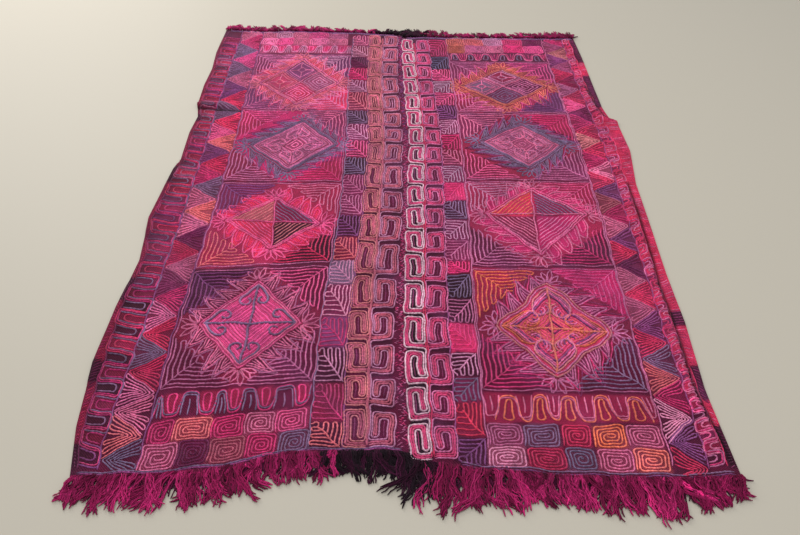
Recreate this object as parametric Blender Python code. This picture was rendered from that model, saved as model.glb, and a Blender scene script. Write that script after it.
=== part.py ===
"""A two-panel embroidered Turkish rug lying flat, with a warp fringe at both ends.

Two long woven panels lie side by side along a seam that runs up the middle. Each end of
each panel carries its own fringe: a narrow woven strip with the warp locks growing out of
it along the floor. Metres, +Z up, +Y away from the viewer, floor at z = 0.
"""

import math
import random
from collections import namedtuple

import bmesh
import bpy

OBJECT_NAME = "turkish_rug"

# The sizes that drive the rest.
CLOTH_SHIFT = (0.003, 0.032)  # from the cloth's own centre to the middle of rug and fringe
PLAIN_THICKNESS = 0.0030  # bare weave, at the hems and the ends
EMBROIDERED_THICKNESS = 0.0056  # weave with the wool embroidery on it
PIECE_GAP = 0.0003  # between one piece and the next
HEM_BARE = 0.0096  # bare weave at the outer edges
HEM_WIDTH = 0.024  # over which the embroidery's thickness builds up from there
END_WIDTH = 0.012  # plain weave at the near and far ends
SEAM_SHOULDER = 0.008  # thinner cloth beside the seam
SEAM_COVER = 0.0036  # share of that shoulder already behind the seam's own edge
STRIP_WIDTH = 0.009  # woven strip that the fringe locks grow from
STRIP_THICKNESS = 0.0030
LOCK_THICKNESS = 0.0036
LOCK_TIP_THICKNESS = 0.0024

# The rows of a panel's grid, and the places of its columns from the seam to the outer edge.
ROW_COUNT = 40
END_ROWS = 4  # both ends of a panel and the inner lines of their plain weave
FIRST_ROW = -1.040
LAST_ROW = 1.045
FOLD_ROWS = (0.398, 0.420, 0.456, 0.480)  # at the notch and the pleat
ROW_CLEARANCE = 0.018  # a straight row this near to one of those is left out
SPOT_PASSES = 4  # rounds to settle a point's place where the ends run aslant
COLUMNS_FROM_SEAM = (0.0, 0.009, 0.14, 0.28, 0.42, 0.55)
COLUMNS_FROM_EDGE = (0.150, 0.084, 0.062, 0.049, 0.039, 0.027, 0.013, 0.0)

# Outer edges and the seam, from the near end to the far end.
EdgePoint = namedtuple("EdgePoint", "along across")
LEFT_EDGE = [
    EdgePoint(-1.16, -0.810),
    EdgePoint(-1.00, -0.843),
    EdgePoint(-0.80, -0.861),
    EdgePoint(-0.60, -0.854),
    EdgePoint(-0.40, -0.836),
    EdgePoint(-0.20, -0.855),
    EdgePoint(0.00, -0.838),
    EdgePoint(0.09, -0.830),
    EdgePoint(0.13, -0.818),
    EdgePoint(0.30, -0.823),
    EdgePoint(0.41, -0.812),
    EdgePoint(0.50, -0.830),
    EdgePoint(0.65, -0.832),
    EdgePoint(0.78, -0.823),
    EdgePoint(0.92, -0.830),
    EdgePoint(1.15, -0.819),
]
RIGHT_EDGE = [
    EdgePoint(-1.16, 0.807),
    EdgePoint(-1.00, 0.800),
    EdgePoint(-0.88, 0.797),
    EdgePoint(-0.65, 0.812),
    EdgePoint(-0.45, 0.812),
    EdgePoint(-0.20, 0.822),
    EdgePoint(0.00, 0.828),
    EdgePoint(0.20, 0.855),
    EdgePoint(0.40, 0.848),
    EdgePoint(0.42, 0.824),
    EdgePoint(0.50, 0.811),
    EdgePoint(0.70, 0.808),
    EdgePoint(0.90, 0.806),
    EdgePoint(1.10, 0.799),
]
SEAM_LINE = [
    EdgePoint(-1.16, 0.000),
    EdgePoint(-0.65, -0.010),
    EdgePoint(-0.20, 0.005),
    EdgePoint(0.25, 0.022),
    EdgePoint(0.70, 0.003),
    EdgePoint(1.16, 0.000),
]

# Cloth ends, from the left to the right.
EndPoint = namedtuple("EndPoint", "across along")
NEAR_END_LEFT = [
    EndPoint(-0.87, -1.142),
    EndPoint(-0.60, -1.130),
    EndPoint(-0.42, -1.103),
    EndPoint(-0.30, -1.070),
    EndPoint(-0.06, -1.070),
    EndPoint(0.02, -1.082),
]
NEAR_END_RIGHT = [
    EndPoint(-0.02, -1.094),
    EndPoint(0.17, -1.115),
    EndPoint(0.38, -1.130),
    EndPoint(0.65, -1.143),
    EndPoint(0.86, -1.133),
]
FAR_END_LEFT = [
    EndPoint(-0.87, 1.142),
    EndPoint(-0.65, 1.122),
    EndPoint(-0.52, 1.130),
    EndPoint(-0.20, 1.120),
    EndPoint(0.02, 1.098),
]
FAR_END_RIGHT = [
    EndPoint(-0.02, 1.082),
    EndPoint(0.40, 1.078),
    EndPoint(0.86, 1.082),
]

# Raised folds in the cloth: soft ridges along straight runs on the floor. A fold falls away
# over its left and its right width, as seen along the run, so a lap has one steep side.
FoldRun = namedtuple("FoldRun", "start_x start_y end_x end_y start_rise end_rise left_width right_width")
FOLDS = [
    # The cloth lapping over its hem along the far half of the right edge, out to the notch.
    FoldRun(0.758, 0.760, 0.763, 0.620, 0.002, 0.006, 0.014, 0.035),
    FoldRun(0.763, 0.620, 0.776, 0.500, 0.006, 0.009, 0.013, 0.035),
    FoldRun(0.776, 0.500, 0.793, 0.420, 0.009, 0.010, 0.013, 0.035),
    FoldRun(0.793, 0.420, 0.842, 0.396, 0.010, 0.006, 0.012, 0.035),
    # The lap along the near half of the right edge.
    FoldRun(0.785, 0.120, 0.778, -0.250, 0.002, 0.007, 0.014, 0.030),
    FoldRun(0.778, -0.250, 0.763, -0.520, 0.007, 0.008, 0.014, 0.030),
    FoldRun(0.763, -0.520, 0.764, -0.700, 0.008, 0.008, 0.014, 0.030),
    FoldRun(0.764, -0.700, 0.754, -0.860, 0.008, 0.010, 0.014, 0.030),
    FoldRun(0.754, -0.860, 0.764, -0.980, 0.010, 0.009, 0.014, 0.030),
    FoldRun(0.764, -0.980, 0.780, -1.080, 0.009, 0.003, 0.014, 0.030),
    # The pinched pleat that runs in from the left edge, lapping towards the near end.
    FoldRun(-0.845, 0.478, -0.740, 0.480, 0.013, 0.011, 0.045, 0.020),
    FoldRun(-0.740, 0.480, -0.610, 0.466, 0.011, 0.001, 0.045, 0.020),
    # The lifted stretches of the left hem.
    FoldRun(-0.835, 0.060, -0.850, -0.260, 0.005, 0.004, 0.035, 0.035),
    FoldRun(-0.846, -0.520, -0.856, -0.850, 0.003, 0.005, 0.035, 0.035),
    # The soft creases left by folding the rug for storage.
    FoldRun(-0.700, -0.460, -0.250, -0.440, 0.003, 0.002, 0.060, 0.060),
    FoldRun(0.350, -0.560, 0.740, -0.580, 0.002, 0.004, 0.055, 0.055),
    FoldRun(0.250, 0.440, 0.700, 0.430, 0.003, 0.004, 0.060, 0.060),
]

# How far the fringe reaches: the tips' line, and how far the tips lean to the side.
TipPoint = namedtuple("TipPoint", "across along lean")
NEAR_TIPS_LEFT = [
    TipPoint(-0.81, -1.225, -0.018),
    TipPoint(-0.70, -1.248, -0.016),
    TipPoint(-0.58, -1.236, -0.010),
    TipPoint(-0.47, -1.222, 0.006),
    TipPoint(-0.36, -1.172, -0.006),
    TipPoint(-0.20, -1.168, 0.004),
    TipPoint(-0.12, -1.152, 0.006),
    TipPoint(0.00, -1.190, 0.010),
]
NEAR_TIPS_RIGHT = [
    TipPoint(0.00, -1.228, 0.012),
    TipPoint(0.12, -1.262, 0.012),
    TipPoint(0.25, -1.248, 0.002),
    TipPoint(0.45, -1.252, -0.004),
    TipPoint(0.60, -1.270, 0.008),
    TipPoint(0.70, -1.246, 0.006),
    TipPoint(0.80, -1.200, 0.014),
]
FAR_TIPS_LEFT = [
    TipPoint(-0.82, 1.206, 0.006),
    TipPoint(-0.66, 1.180, 0.004),
    TipPoint(-0.50, 1.204, 0.008),
    TipPoint(-0.30, 1.176, -0.004),
    TipPoint(0.00, 1.168, 0.004),
]
FAR_TIPS_RIGHT = [
    TipPoint(0.00, 1.168, 0.000),
    TipPoint(0.08, 1.172, 0.006),
    TipPoint(0.22, 1.140, -0.008),
    TipPoint(0.45, 1.130, -0.004),
    TipPoint(0.62, 1.150, 0.006),
    TipPoint(0.80, 1.150, 0.010),
]

CRIMSON_PLUM = (0.42, 0.05, 0.17)
MAGENTA = (0.36, 0.02, 0.13)

Panel = namedtuple("Panel", "name side outer_edge near_end far_end")
PANELS = [
    Panel("panel_left", -1, LEFT_EDGE, NEAR_END_LEFT, FAR_END_LEFT),
    Panel("panel_right", 1, RIGHT_EDGE, NEAR_END_RIGHT, FAR_END_RIGHT),
]

Fringe = namedtuple("Fringe", "name panel_name end tips locks steps root_width tip_width seed")
FRINGES = [
    Fringe("fringe_near_left", "panel_left", -1, NEAR_TIPS_LEFT, 60, 4, 0.0085, 0.0036, 3),
    Fringe("fringe_near_right", "panel_right", -1, NEAR_TIPS_RIGHT, 60, 4, 0.0085, 0.0036, 5),
    Fringe("fringe_far_left", "panel_left", 1, FAR_TIPS_LEFT, 50, 3, 0.0090, 0.0036, 7),
    Fringe("fringe_far_right", "panel_right", 1, FAR_TIPS_RIGHT, 46, 3, 0.0090, 0.0036, 11),
]
LENGTH_SCATTER = 0.16  # share of a lock's reach by which it may differ from its neighbours
LEAN_SCATTER = 0.0035  # sideways scatter of a lock's tip
WAVE = 0.0016  # how far a lock bows to the side on its way
MERGE_DISTANCE = 0.00001  # corners closer than this are one corner
OUTWARD_SHARE = 0.5  # least lean along the rug of a face that looks out past the cloth's end


def read_line(points, place, key, value):
    """Value at a place along a table of points, on straight runs between them."""
    if place <= getattr(points[0], key):
        return getattr(points[0], value)
    for before, after in zip(points, points[1:]):
        low, high = getattr(before, key), getattr(after, key)
        if place <= high:
            share = (place - low) / (high - low)
            return getattr(before, value) + share * (getattr(after, value) - getattr(before, value))
    return getattr(points[-1], value)


def edge_x(points, y):
    return read_line(points, y, "along", "across")


def end_y(points, x):
    return read_line(points, x, "across", "along")


def smooth_step(share):
    share = min(max(share, 0.0), 1.0)
    return share * share * (3.0 - 2.0 * share)


def fold_rise(x, y):
    """How far the cloth's underside stands off the floor."""
    rise = 0.0
    for fold in FOLDS:
        run_x, run_y = fold.end_x - fold.start_x, fold.end_y - fold.start_y
        from_x, from_y = x - fold.start_x, y - fold.start_y
        share = min(max((from_x * run_x + from_y * run_y) / (run_x**2 + run_y**2), 0.0), 1.0)
        away = math.hypot(from_x - share * run_x, from_y - share * run_y)
        is_left = run_x * from_y - run_y * from_x > 0.0
        width = fold.left_width if is_left else fold.right_width
        if away < width:
            crest = fold.start_rise + share * (fold.end_rise - fold.start_rise)
            rise = max(rise, crest * 0.5 * (1.0 + math.cos(math.pi * away / width)))
    return rise


def cloth_thickness(from_edge, from_seam, from_end):
    """Thickness of the cloth, which thins to bare weave at its hem, its ends and the seam."""
    cover = smooth_step((from_edge - HEM_BARE) / HEM_WIDTH)
    cover = min(cover, smooth_step(from_end / END_WIDTH))
    cover = min(cover, smooth_step((from_seam + SEAM_COVER) / SEAM_SHOULDER))
    return PLAIN_THICKNESS + cover * (EMBROIDERED_THICKNESS - PLAIN_THICKNESS)


def column_places(width):
    """Distances from the seam of a panel's columns, at one row."""
    return [*COLUMNS_FROM_SEAM, *[width - from_edge for from_edge in COLUMNS_FROM_EDGE]]


def row_lines():
    """The straight rows, which both panels share, with extra ones at the notch and the pleat."""
    spacing = (LAST_ROW - FIRST_ROW) / (ROW_COUNT - 1)
    lines = [FIRST_ROW + row * spacing for row in range(ROW_COUNT)]
    lines = [line for line in lines if min(abs(line - place) for place in FOLD_ROWS) > ROW_CLEARANCE]
    return sorted([*lines, *FOLD_ROWS])


def row_y(row, near, far):
    """Place of a row: the end itself, the plain weave's inner line, or a straight row."""
    lines = [near, near + END_WIDTH, *row_lines(), far - END_WIDTH, far]
    return lines[row]


def panel_spot(panel, column, row):
    """Floor position of a grid point, and its distances from the edge, the seam and the end."""
    half_gap = panel.side * PIECE_GAP / 2.0
    y = row_y(row, FIRST_ROW, LAST_ROW)
    for _ in range(SPOT_PASSES):
        seam = edge_x(SEAM_LINE, y) + half_gap
        width = abs(edge_x(panel.outer_edge, y) - seam)
        from_seam = column_places(width)[column]
        x = seam + panel.side * from_seam
        near, far = end_y(panel.near_end, x), end_y(panel.far_end, x)
        y = row_y(row, near, far)
    return x, y, width - from_seam, from_seam, min(y - near, far - y)


def new_object(name, mesh, colour, collection):
    material = bpy.data.materials.new(name + "_wool")
    material.use_nodes = True
    shader = material.node_tree.nodes["Principled BSDF"]
    shader.inputs["Base Color"].default_value = (*colour, 1.0)
    shader.inputs["Roughness"].default_value = 0.9
    shader.inputs["Metallic"].default_value = 0.0
    mesh.materials.clear()
    mesh.materials.append(material)
    piece = bpy.data.objects.new(name, mesh)
    piece.location = (*CLOTH_SHIFT, 0.0)
    collection.objects.link(piece)
    return piece


def make_panel(panel, collection):
    """One woven panel: a flat grid laid to the cloth's outline, extruded and folded."""
    rows = len(row_lines()) + END_ROWS
    columns = len(COLUMNS_FROM_SEAM) + len(COLUMNS_FROM_EDGE)
    sheet = bmesh.new()
    bmesh.ops.create_grid(sheet, x_segments=columns - 1, y_segments=rows - 1, size=0.5)
    thickness = sheet.verts.layers.float.new("thickness")
    for vertex in sheet.verts:
        across = round((vertex.co.x + 0.5) * (columns - 1))
        column = across if panel.side > 0 else columns - 1 - across
        row = round((vertex.co.y + 0.5) * (rows - 1))
        x, y, from_edge, from_seam, from_end = panel_spot(panel, column, row)
        vertex.co = (x, y, fold_rise(x, y))
        vertex[thickness] = cloth_thickness(from_edge, from_seam, from_end)
    top = bmesh.ops.extrude_face_region(sheet, geom=list(sheet.faces))["geom"]
    for vertex in (part for part in top if isinstance(part, bmesh.types.BMVert)):
        vertex.co.z += vertex[thickness]
    sheet.verts.layers.float.remove(thickness)
    bmesh.ops.recalc_face_normals(sheet, faces=sheet.faces)
    mesh = bpy.data.meshes.new(panel.name)
    sheet.to_mesh(mesh)
    sheet.free()
    return new_object(panel.name, mesh, CRIMSON_PLUM, collection)


def strip_outline(panel, fringe):
    """The woven strip's outline: its line along the cloth's end, and the line of the roots."""
    end_row = 0 if fringe.end < 0 else -1
    inner = []
    for column in range(len(COLUMNS_FROM_SEAM) + len(COLUMNS_FROM_EDGE)):
        x, y, *_ = panel_spot(panel, column, end_row)
        inner.append((x, y + fringe.end * PIECE_GAP))
    seam_x, outer_x = inner[0][0], inner[-1][0]
    pitch = (outer_x - seam_x) / fringe.locks
    half_root = panel.side * fringe.root_width / 2.0
    stations = [seam_x]
    for lock in range(fringe.locks):
        middle = seam_x + (lock + 0.5) * pitch
        stations += [middle - half_root, middle + half_root]
    stations.append(outer_x)
    cloth_end = [EndPoint(x, y) for x, y in sorted(inner)]
    outer = [(x, end_y(cloth_end, x) + fringe.end * STRIP_WIDTH) for x in stations]
    return inner, outer


def strip_mesh(name, inner, outer):
    """The strip as a filled flat curve with its thickness, made a mesh."""
    curve = bpy.data.curves.new(name, "CURVE")
    curve.dimensions = "2D"
    curve.fill_mode = "BOTH"
    curve.extrude = STRIP_THICKNESS / 2.0
    outline = inner + outer[::-1]
    spline = curve.splines.new("POLY")
    spline.points.add(len(outline) - 1)
    for point, (x, y) in zip(spline.points, outline):
        point.co = (x, y, 0.0, 1.0)
    spline.use_cyclic_u = True
    flat = bpy.data.objects.new(name + "_outline", curve)
    bpy.context.scene.collection.objects.link(flat)
    bpy.context.view_layer.update()
    mesh = bpy.data.meshes.new_from_object(flat.evaluated_get(bpy.context.evaluated_depsgraph_get()))
    bpy.data.objects.remove(flat)
    return mesh


def grow_lock(strip, root, fringe, tip, bow):
    """Draw one four-sided lock out of its root face, step by step along the floor."""
    corners = list(root.verts)
    start = [sum(corner.co[axis] for corner in corners) / len(corners) for axis in (0, 1)]
    run = (tip[0] - start[0], tip[1] - start[1])
    reach = math.hypot(*run)
    across = (-run[1] / reach, run[0] / reach)
    places = []
    for corner in corners:
        offset = (corner.co.x - start[0]) * across[0] + (corner.co.y - start[1]) * across[1]
        places.append((math.copysign(0.5, offset), corner.co.z > STRIP_THICKNESS / 2.0))
    face = root
    for step in range(1, fringe.steps + 1):
        share = step / fringe.steps
        face = bmesh.ops.extrude_discrete_faces(strip, faces=[face])["faces"][0]
        width = fringe.root_width + share * (fringe.tip_width - fringe.root_width)
        height = LOCK_THICKNESS + share * (LOCK_TIP_THICKNESS - LOCK_THICKNESS)
        sway = bow * math.sin(2.0 * math.pi * share)
        for corner, (side, is_top) in zip(face.verts, places):
            aside = sway + side * width
            corner.co.x = start[0] + share * run[0] + aside * across[0]
            corner.co.y = start[1] + share * run[1] + aside * across[1]
            corner.co.z = height if is_top else 0.0


def make_fringe(fringe, panel, collection):
    """One fringe: the woven strip at a panel's end with all its locks."""
    inner, outer = strip_outline(panel, fringe)
    mesh = strip_mesh(fringe.name, inner, outer)
    strip = bmesh.new()
    strip.from_mesh(mesh)
    bmesh.ops.remove_doubles(strip, verts=strip.verts, dist=MERGE_DISTANCE)
    bmesh.ops.translate(strip, verts=strip.verts, vec=(0.0, 0.0, STRIP_THICKNESS / 2.0))
    bmesh.ops.recalc_face_normals(strip, faces=strip.faces)
    outward = [face for face in strip.faces if face.normal.y * fringe.end > OUTWARD_SHARE]
    outward.sort(key=lambda face: face.calc_center_median().x * panel.side)
    chance = random.Random(fringe.seed)
    for root in outward[1::2]:
        x, y, _ = root.calc_center_median()
        tip_y = read_line(fringe.tips, x, "across", "along")
        lean = read_line(fringe.tips, x, "across", "lean") + chance.uniform(-1.0, 1.0) * LEAN_SCATTER
        reach = (tip_y - y) * (1.0 - LENGTH_SCATTER * chance.random())
        grow_lock(strip, root, fringe, (x + lean, y + reach), WAVE * chance.uniform(-1.0, 1.0))
    strip.to_mesh(mesh)
    strip.free()
    return new_object(fringe.name, mesh, MAGENTA, collection)


def main():
    for item in list(bpy.data.objects):
        bpy.data.objects.remove(item)
    collection = bpy.data.collections.new(OBJECT_NAME)
    bpy.context.scene.collection.children.link(collection)
    panels = {panel.name: panel for panel in PANELS}
    for panel in PANELS:
        make_panel(panel, collection)
    for fringe in FRINGES:
        make_fringe(fringe, panels[fringe.panel_name], collection)


main()
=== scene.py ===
"""An embroidered Turkish rug of two sewn panels, dressed around its fixed frame."""
import math
from collections import namedtuple

import bpy
import numpy as np
from mathutils import Matrix, Vector


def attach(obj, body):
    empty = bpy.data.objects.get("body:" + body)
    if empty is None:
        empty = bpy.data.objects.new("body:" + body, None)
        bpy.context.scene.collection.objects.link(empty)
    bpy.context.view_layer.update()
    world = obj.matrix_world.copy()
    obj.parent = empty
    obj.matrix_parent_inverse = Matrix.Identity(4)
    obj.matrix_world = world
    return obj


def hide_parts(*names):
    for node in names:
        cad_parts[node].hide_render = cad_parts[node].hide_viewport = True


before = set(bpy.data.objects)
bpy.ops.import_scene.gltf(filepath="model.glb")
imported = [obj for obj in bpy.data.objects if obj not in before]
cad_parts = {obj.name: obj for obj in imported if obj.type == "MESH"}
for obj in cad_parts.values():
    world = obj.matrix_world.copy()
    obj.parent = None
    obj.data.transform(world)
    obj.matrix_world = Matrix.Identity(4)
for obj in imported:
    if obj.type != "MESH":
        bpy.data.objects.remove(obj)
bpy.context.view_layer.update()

bl_info = {
    "name": "Embroidered rug",
    "version": (1, 0, 0),
    "blender": (4, 5, 0),
    "location": "View3D > Sidebar > Rug",
    "description": "Weaves, embroiders and fringes a two-panel wool rug on its frame",
    "category": "Object",
}

# Sizes in metres. Places are in the cloth's own frame: its middle is 0, 0 and the far end is +Y.
CLOTH_SHIFT = np.array([0.003, 0.032])
FLAT_SIZE = (0.83, 2.24)  # width and length that each panel was cut to
PANEL_GAP = 0.0006
FLOOR_GAP = 0.0001  # least lift of the cloth's underside
CLOTH_BEVEL = 0.3  # rounding of the cloth's edges, as a share of its thickness
ROW_STEP = 0.0095
FINE_COLUMNS = 34
COARSE_COLUMNS = 72
FINE_ZONE = 0.125  # width of the finely woven grid at the outer edge, where the folds are
FIRST_GUESS = (-1.1, 1.1)  # where the grid's rows begin and end, before they are settled
SPOT_PASSES = 4  # rounds in which the grid's places settle between the slanting ends and edges
DROP_HEIGHT = 0.1  # well over the cloth, from where a yarn is let down on it
SINK = 0.0006  # how deep a sewn yarn beds into the cloth
STEEPEST_LAY = 0.5  # where the cloth faces up less than this, a yarn bridges it and lies level
FINE_STEP = 0.0022
LONG_LINE_POINTS = 60
NEXT_TO_NOTHING = 1e-12  # keeps a length from being nothing where it divides
CORNER_SOFTNESS = 0.0044
HAND_SLIP = 0.0006  # how far a whole line is laid off its place
BEAD = 0.72  # width of a chain stitch where it enters the next one
BEAD_SPREAD = 0.08  # how much wider or narrower one stitch may be than the next
END_TAPER = 0.55
YARN_HEIGHT = 0.50  # height of a sewn yarn, as a share of its width
LOCK_HEIGHT = 0.62  # the same for the fringe, which isn't pressed into a cloth
SHADE_SPREAD = 0.12
STITCH_SPECKLE = 0.24  # how much one stitch may be paler or darker than the next
DYE_BLEED = 0.14  # most of a neighbouring dye that a yarn has taken on
BLEEDING_DYES = ["hot", "rose", "magenta"]
# The shapes of the pattern: margins and reaches in metres, all else as shares of the cell's own size.
LEAF_MARGIN = 0.003
CHEVRON_FAN = 0.56  # 1 nests the border's chevrons evenly; less crowds them towards their point
COARSE_FROM = 12  # the triangle from which on the zigzag borders are sewn in thicker yarn
COARSE_YARN = 1.28
DARK_TRIANGLES = 4  # triangles at the near end that lie on near-black ground
DEEP_TRIANGLES = 9  # triangles from the near end whose ground has hardly taken their own dye
FINGER_LOOPS = (0.24, 0.62)  # half heights of the two loops in each finger of a border
HEM_WIDTH = 0.015  # least width of the plain hem on the left
HEM_ENDS, HEM_STEP = (-1.115, 1.065), 0.0095
SPIRAL_PITCH = 0.68  # spacing of a square's spiral in usual line spacings
TONGUE_ROOM = 0.026  # from a tongue's middle to the arches beside it
GUSSET_WIDTH, GUSSET_HEIGHT = 0.45, 0.43  # a corner gusset, as shares of the medallion's cell
GUSSET_PITCH, GUSSET_LINES = 1.16, 7  # spacing in usual line spacings, and the most lines in it
GUSSET_SLIPS = (-0.014, 0.006)  # how much shorter or longer than drawn a line of it may be
RAYS = 4  # leaves along each side of a medallion
RAY_START, RAY_SPAN = 0.08, 0.84  # the part of a side that they stand on
RAY_WIDTH = 0.46  # half the foot of a leaf, in spacings
RAY_LENGTHS = (0.054, 0.078)
PETAL_TURNS = (-78, -47, -16, 16, 47, 78)
PETAL_LENGTHS = (0.040, 0.058)
RIM_STEP = 0.0075 / 0.11  # how much smaller the inner line of a medallion's rim is
# A lobed rim's side: share of the way along it and how far it swells there, in lobe depths.
LOBE_DEPTH = 0.006
LOBE_CURVE = ((0.0, 0.0), (0.09, 1.1), (0.22, 1.4), (0.36, 0.5), (0.50, -0.5), (0.64, 0.5), (0.78, 1.4),
              (0.91, 1.1))
CURL_TURN = 1.60 * math.pi
CURL_TIGHTENING = 0.50  # how much of its radius a curl has lost at its end
CURL_LEAN = 0.07  # how far a curl's stem turns from the rim towards the middle
HOOK_GAP = 0.0055  # between a hook's tongue and the open side of its cell
HOOK_BAND = 0.27  # width of a hook's band
# How a dye shows on a yarn's two feet, darkened as painted shade, on the crest between them, lightened
# as a painted highlight, and on the ground.
FOOT_PAINTED_SHADE = (0.74, 0.60, 0.68)
CREST_PAINTED_HIGHLIGHT = (1.30, 1.28, 1.52)
GROUND_TINT = (1.12, 0.82, 0.96)
SHEEN_TINT = (1.0, 0.50, 0.74, 1.0)
# The least and the most violet that a dye leans to, and how much the washes bend.
LEAST_VIOLET, MOST_VIOLET, WASH_BEND = 0.02, 0.4, 1.3

# Yarn and ground colours, named as a dyer would, in the screen's hexadecimal.
DYES = {
    "white": "f4ced0", "pale": "f0a0b8", "pink": "f46494", "hot": "f0427e", "rose": "e07896",
    "magenta": "d83c72", "crimson": "e03a60", "red": "ea3c58", "coral": "f07a76", "rust": "e08884",
    "orange": "f07c4e", "mauve": "cc7498", "lilac": "d894b0", "violet": "8a4c7e", "purple": "66325e",
    "slate": "80708a", "blue": "686682", "grey": "b48c9e", "plum": "7c2a54", "wine": "7e1e3e",
    "dark": "3c0e28", "black": "20121a", "brown": "c46672", "ground": "5c1236", "madder": "a0284e",
    "cerise": "c62c6c", "berry": "94194c", "sloe": "501030", "bloom": "f45e98", "orchid": "b4587c",
    "blush": "f884ae", "apricot": "e07a60", "carmine": "d44a72", "heather": "b87090",
    "flamingo": "f0527e", "salmon": "f07e8c",
}

# Outer edges, from the near end: place along the rug, place across it.
LEFT_EDGE = np.array([
    (-1.16, -0.810), (-1.00, -0.843), (-0.80, -0.861), (-0.60, -0.854), (-0.40, -0.836),
    (-0.20, -0.855), (0.00, -0.838), (0.09, -0.830), (0.12, -0.819), (0.30, -0.823),
    (0.41, -0.812), (0.50, -0.830), (0.65, -0.832), (0.78, -0.823), (0.92, -0.830), (1.15, -0.819),
])
RIGHT_EDGE = np.array([
    (-1.16, 0.807), (-1.00, 0.800), (-0.88, 0.797), (-0.65, 0.812), (-0.45, 0.812), (-0.20, 0.822),
    (0.00, 0.828), (0.20, 0.855), (0.400, 0.848), (0.418, 0.824), (0.50, 0.811), (0.70, 0.808),
    (0.90, 0.806), (1.10, 0.799),
])
# Cloth ends, from the left: place across the rug, place along it.
NEAR_LEFT = np.array([
    (-0.87, -1.142), (-0.60, -1.136), (-0.42, -1.111), (-0.30, -1.077), (-0.06, -1.072), (0.02, -1.082),
])
NEAR_RIGHT = np.array([(-0.02, -1.094), (0.17, -1.121), (0.38, -1.139), (0.65, -1.147), (0.86, -1.137)])
FAR_LEFT = np.array([(-0.87, 1.142), (-0.65, 1.122), (-0.52, 1.130), (-0.20, 1.120), (0.02, 1.098)])
FAR_RIGHT = np.array([(-0.02, 1.082), (0.40, 1.078), (0.86, 1.082)])

# Folds: soft ridges that run from place to place. Each place has its rise, and the width of the ridge
# on the left and on the right of the run that starts there.
Crest = namedtuple("Crest", "x y rise left right")
FOLDS = [
    [Crest(0.758, 0.760, 0.002, 0.011, 0.035), Crest(0.763, 0.620, 0.006, 0.010, 0.035),
     Crest(0.776, 0.500, 0.009, 0.010, 0.035), Crest(0.793, 0.420, 0.010, 0.010, 0.035),
     Crest(0.842, 0.396, 0.006, 0.010, 0.035)],
    [Crest(0.785, 0.120, 0.002, 0.011, 0.030), Crest(0.778, -0.250, 0.007, 0.010, 0.030),
     Crest(0.763, -0.520, 0.008, 0.010, 0.030), Crest(0.764, -0.700, 0.008, 0.010, 0.030),
     Crest(0.754, -0.860, 0.010, 0.010, 0.030), Crest(0.764, -0.980, 0.009, 0.011, 0.030),
     Crest(0.780, -1.080, 0.003, 0.011, 0.030)],
    [Crest(-0.845, 0.480, 0.015, 0.045, 0.017), Crest(-0.740, 0.478, 0.014, 0.045, 0.017),
     Crest(-0.620, 0.464, 0.002, 0.045, 0.017)],
    [Crest(-0.835, 0.060, 0.005, 0.035, 0.035), Crest(-0.850, -0.260, 0.004, 0.035, 0.035)],
    [Crest(-0.846, -0.520, 0.003, 0.035, 0.035), Crest(-0.856, -0.850, 0.005, 0.035, 0.035)],
    [Crest(-0.700, -0.460, 0.003, 0.060, 0.060), Crest(-0.250, -0.440, 0.002, 0.060, 0.060)],
    [Crest(0.350, -0.560, 0.002, 0.055, 0.055), Crest(0.740, -0.580, 0.004, 0.055, 0.055)],
    [Crest(0.250, 0.440, 0.003, 0.060, 0.060), Crest(0.700, 0.430, 0.004, 0.060, 0.060)],
]
# Long low waves of cloth that has lain folded: wavelength, height, heading in degrees, phase.
RIPPLES = [(0.31, 0.0007, 12, 0.3), (0.19, 0.0005, 75, 1.9), (0.11, 0.00035, 140, 4.1)]
# How the drawing wanders from its lines: wavelength, size, headings of the wave and the shift, phase.
WANDERS = [
    (0.150, 0.0024, 20, 110, 0.4), (0.105, 0.0020, 100, 10, 2.2), (0.071, 0.0015, 150, 60, 5.0),
    (0.043, 0.0009, 60, 150, 1.1), (0.029, 0.0005, 15, 80, 3.6),
]
# Where the dye took unevenly: wavelengths across and along, phases, strength, lean towards violet.
WASHES = [
    (0.62, 0.47, 0.3, 1.2, 0.07, 0.06), (0.33, 0.29, 2.1, 0.4, 0.08, 0.05),
    (0.17, 0.21, 4.4, 3.0, 0.08, 0.05), (0.09, 0.11, 1.0, 5.2, 0.09, 0.06),
    (0.047, 0.055, 3.1, 2.2, 0.09, 0.04),
]
# Lines of painted shadow: just outside the right-hand crease, from the near end and from above the
# notch, and at the foot of the fold at the left-hand edge.
CREASE_SHADOWS = [
    [(0.793, -1.10), (0.786, -1.02), (0.776, -0.95), (0.768, -0.86), (0.775, -0.75), (0.778, -0.60),
     (0.776, -0.50), (0.785, -0.40), (0.790, -0.28), (0.795, -0.15), (0.797, 0.00)],
    [(0.772, 0.66), (0.780, 0.58), (0.789, 0.50), (0.803, 0.435), (0.820, 0.418), (0.850, 0.408)],
    [(-0.840, 0.462), (-0.812, 0.464), (-0.771, 0.460), (-0.739, 0.455), (-0.677, 0.447), (-0.650, 0.446)],
]
CREASE_SHADOW_WIDTH = 0.0065
CREASE_SHADOW_DEPTH = 0.86  # how much darker than the dye the middle of such a line is
LEFT_EDGE_PAINTED_SHADE = 0.42  # the same at the left edge: painted shade, darker towards the edge
LEFT_EDGE_PAINTED_SHADE_WIDTH = 0.050

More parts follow.
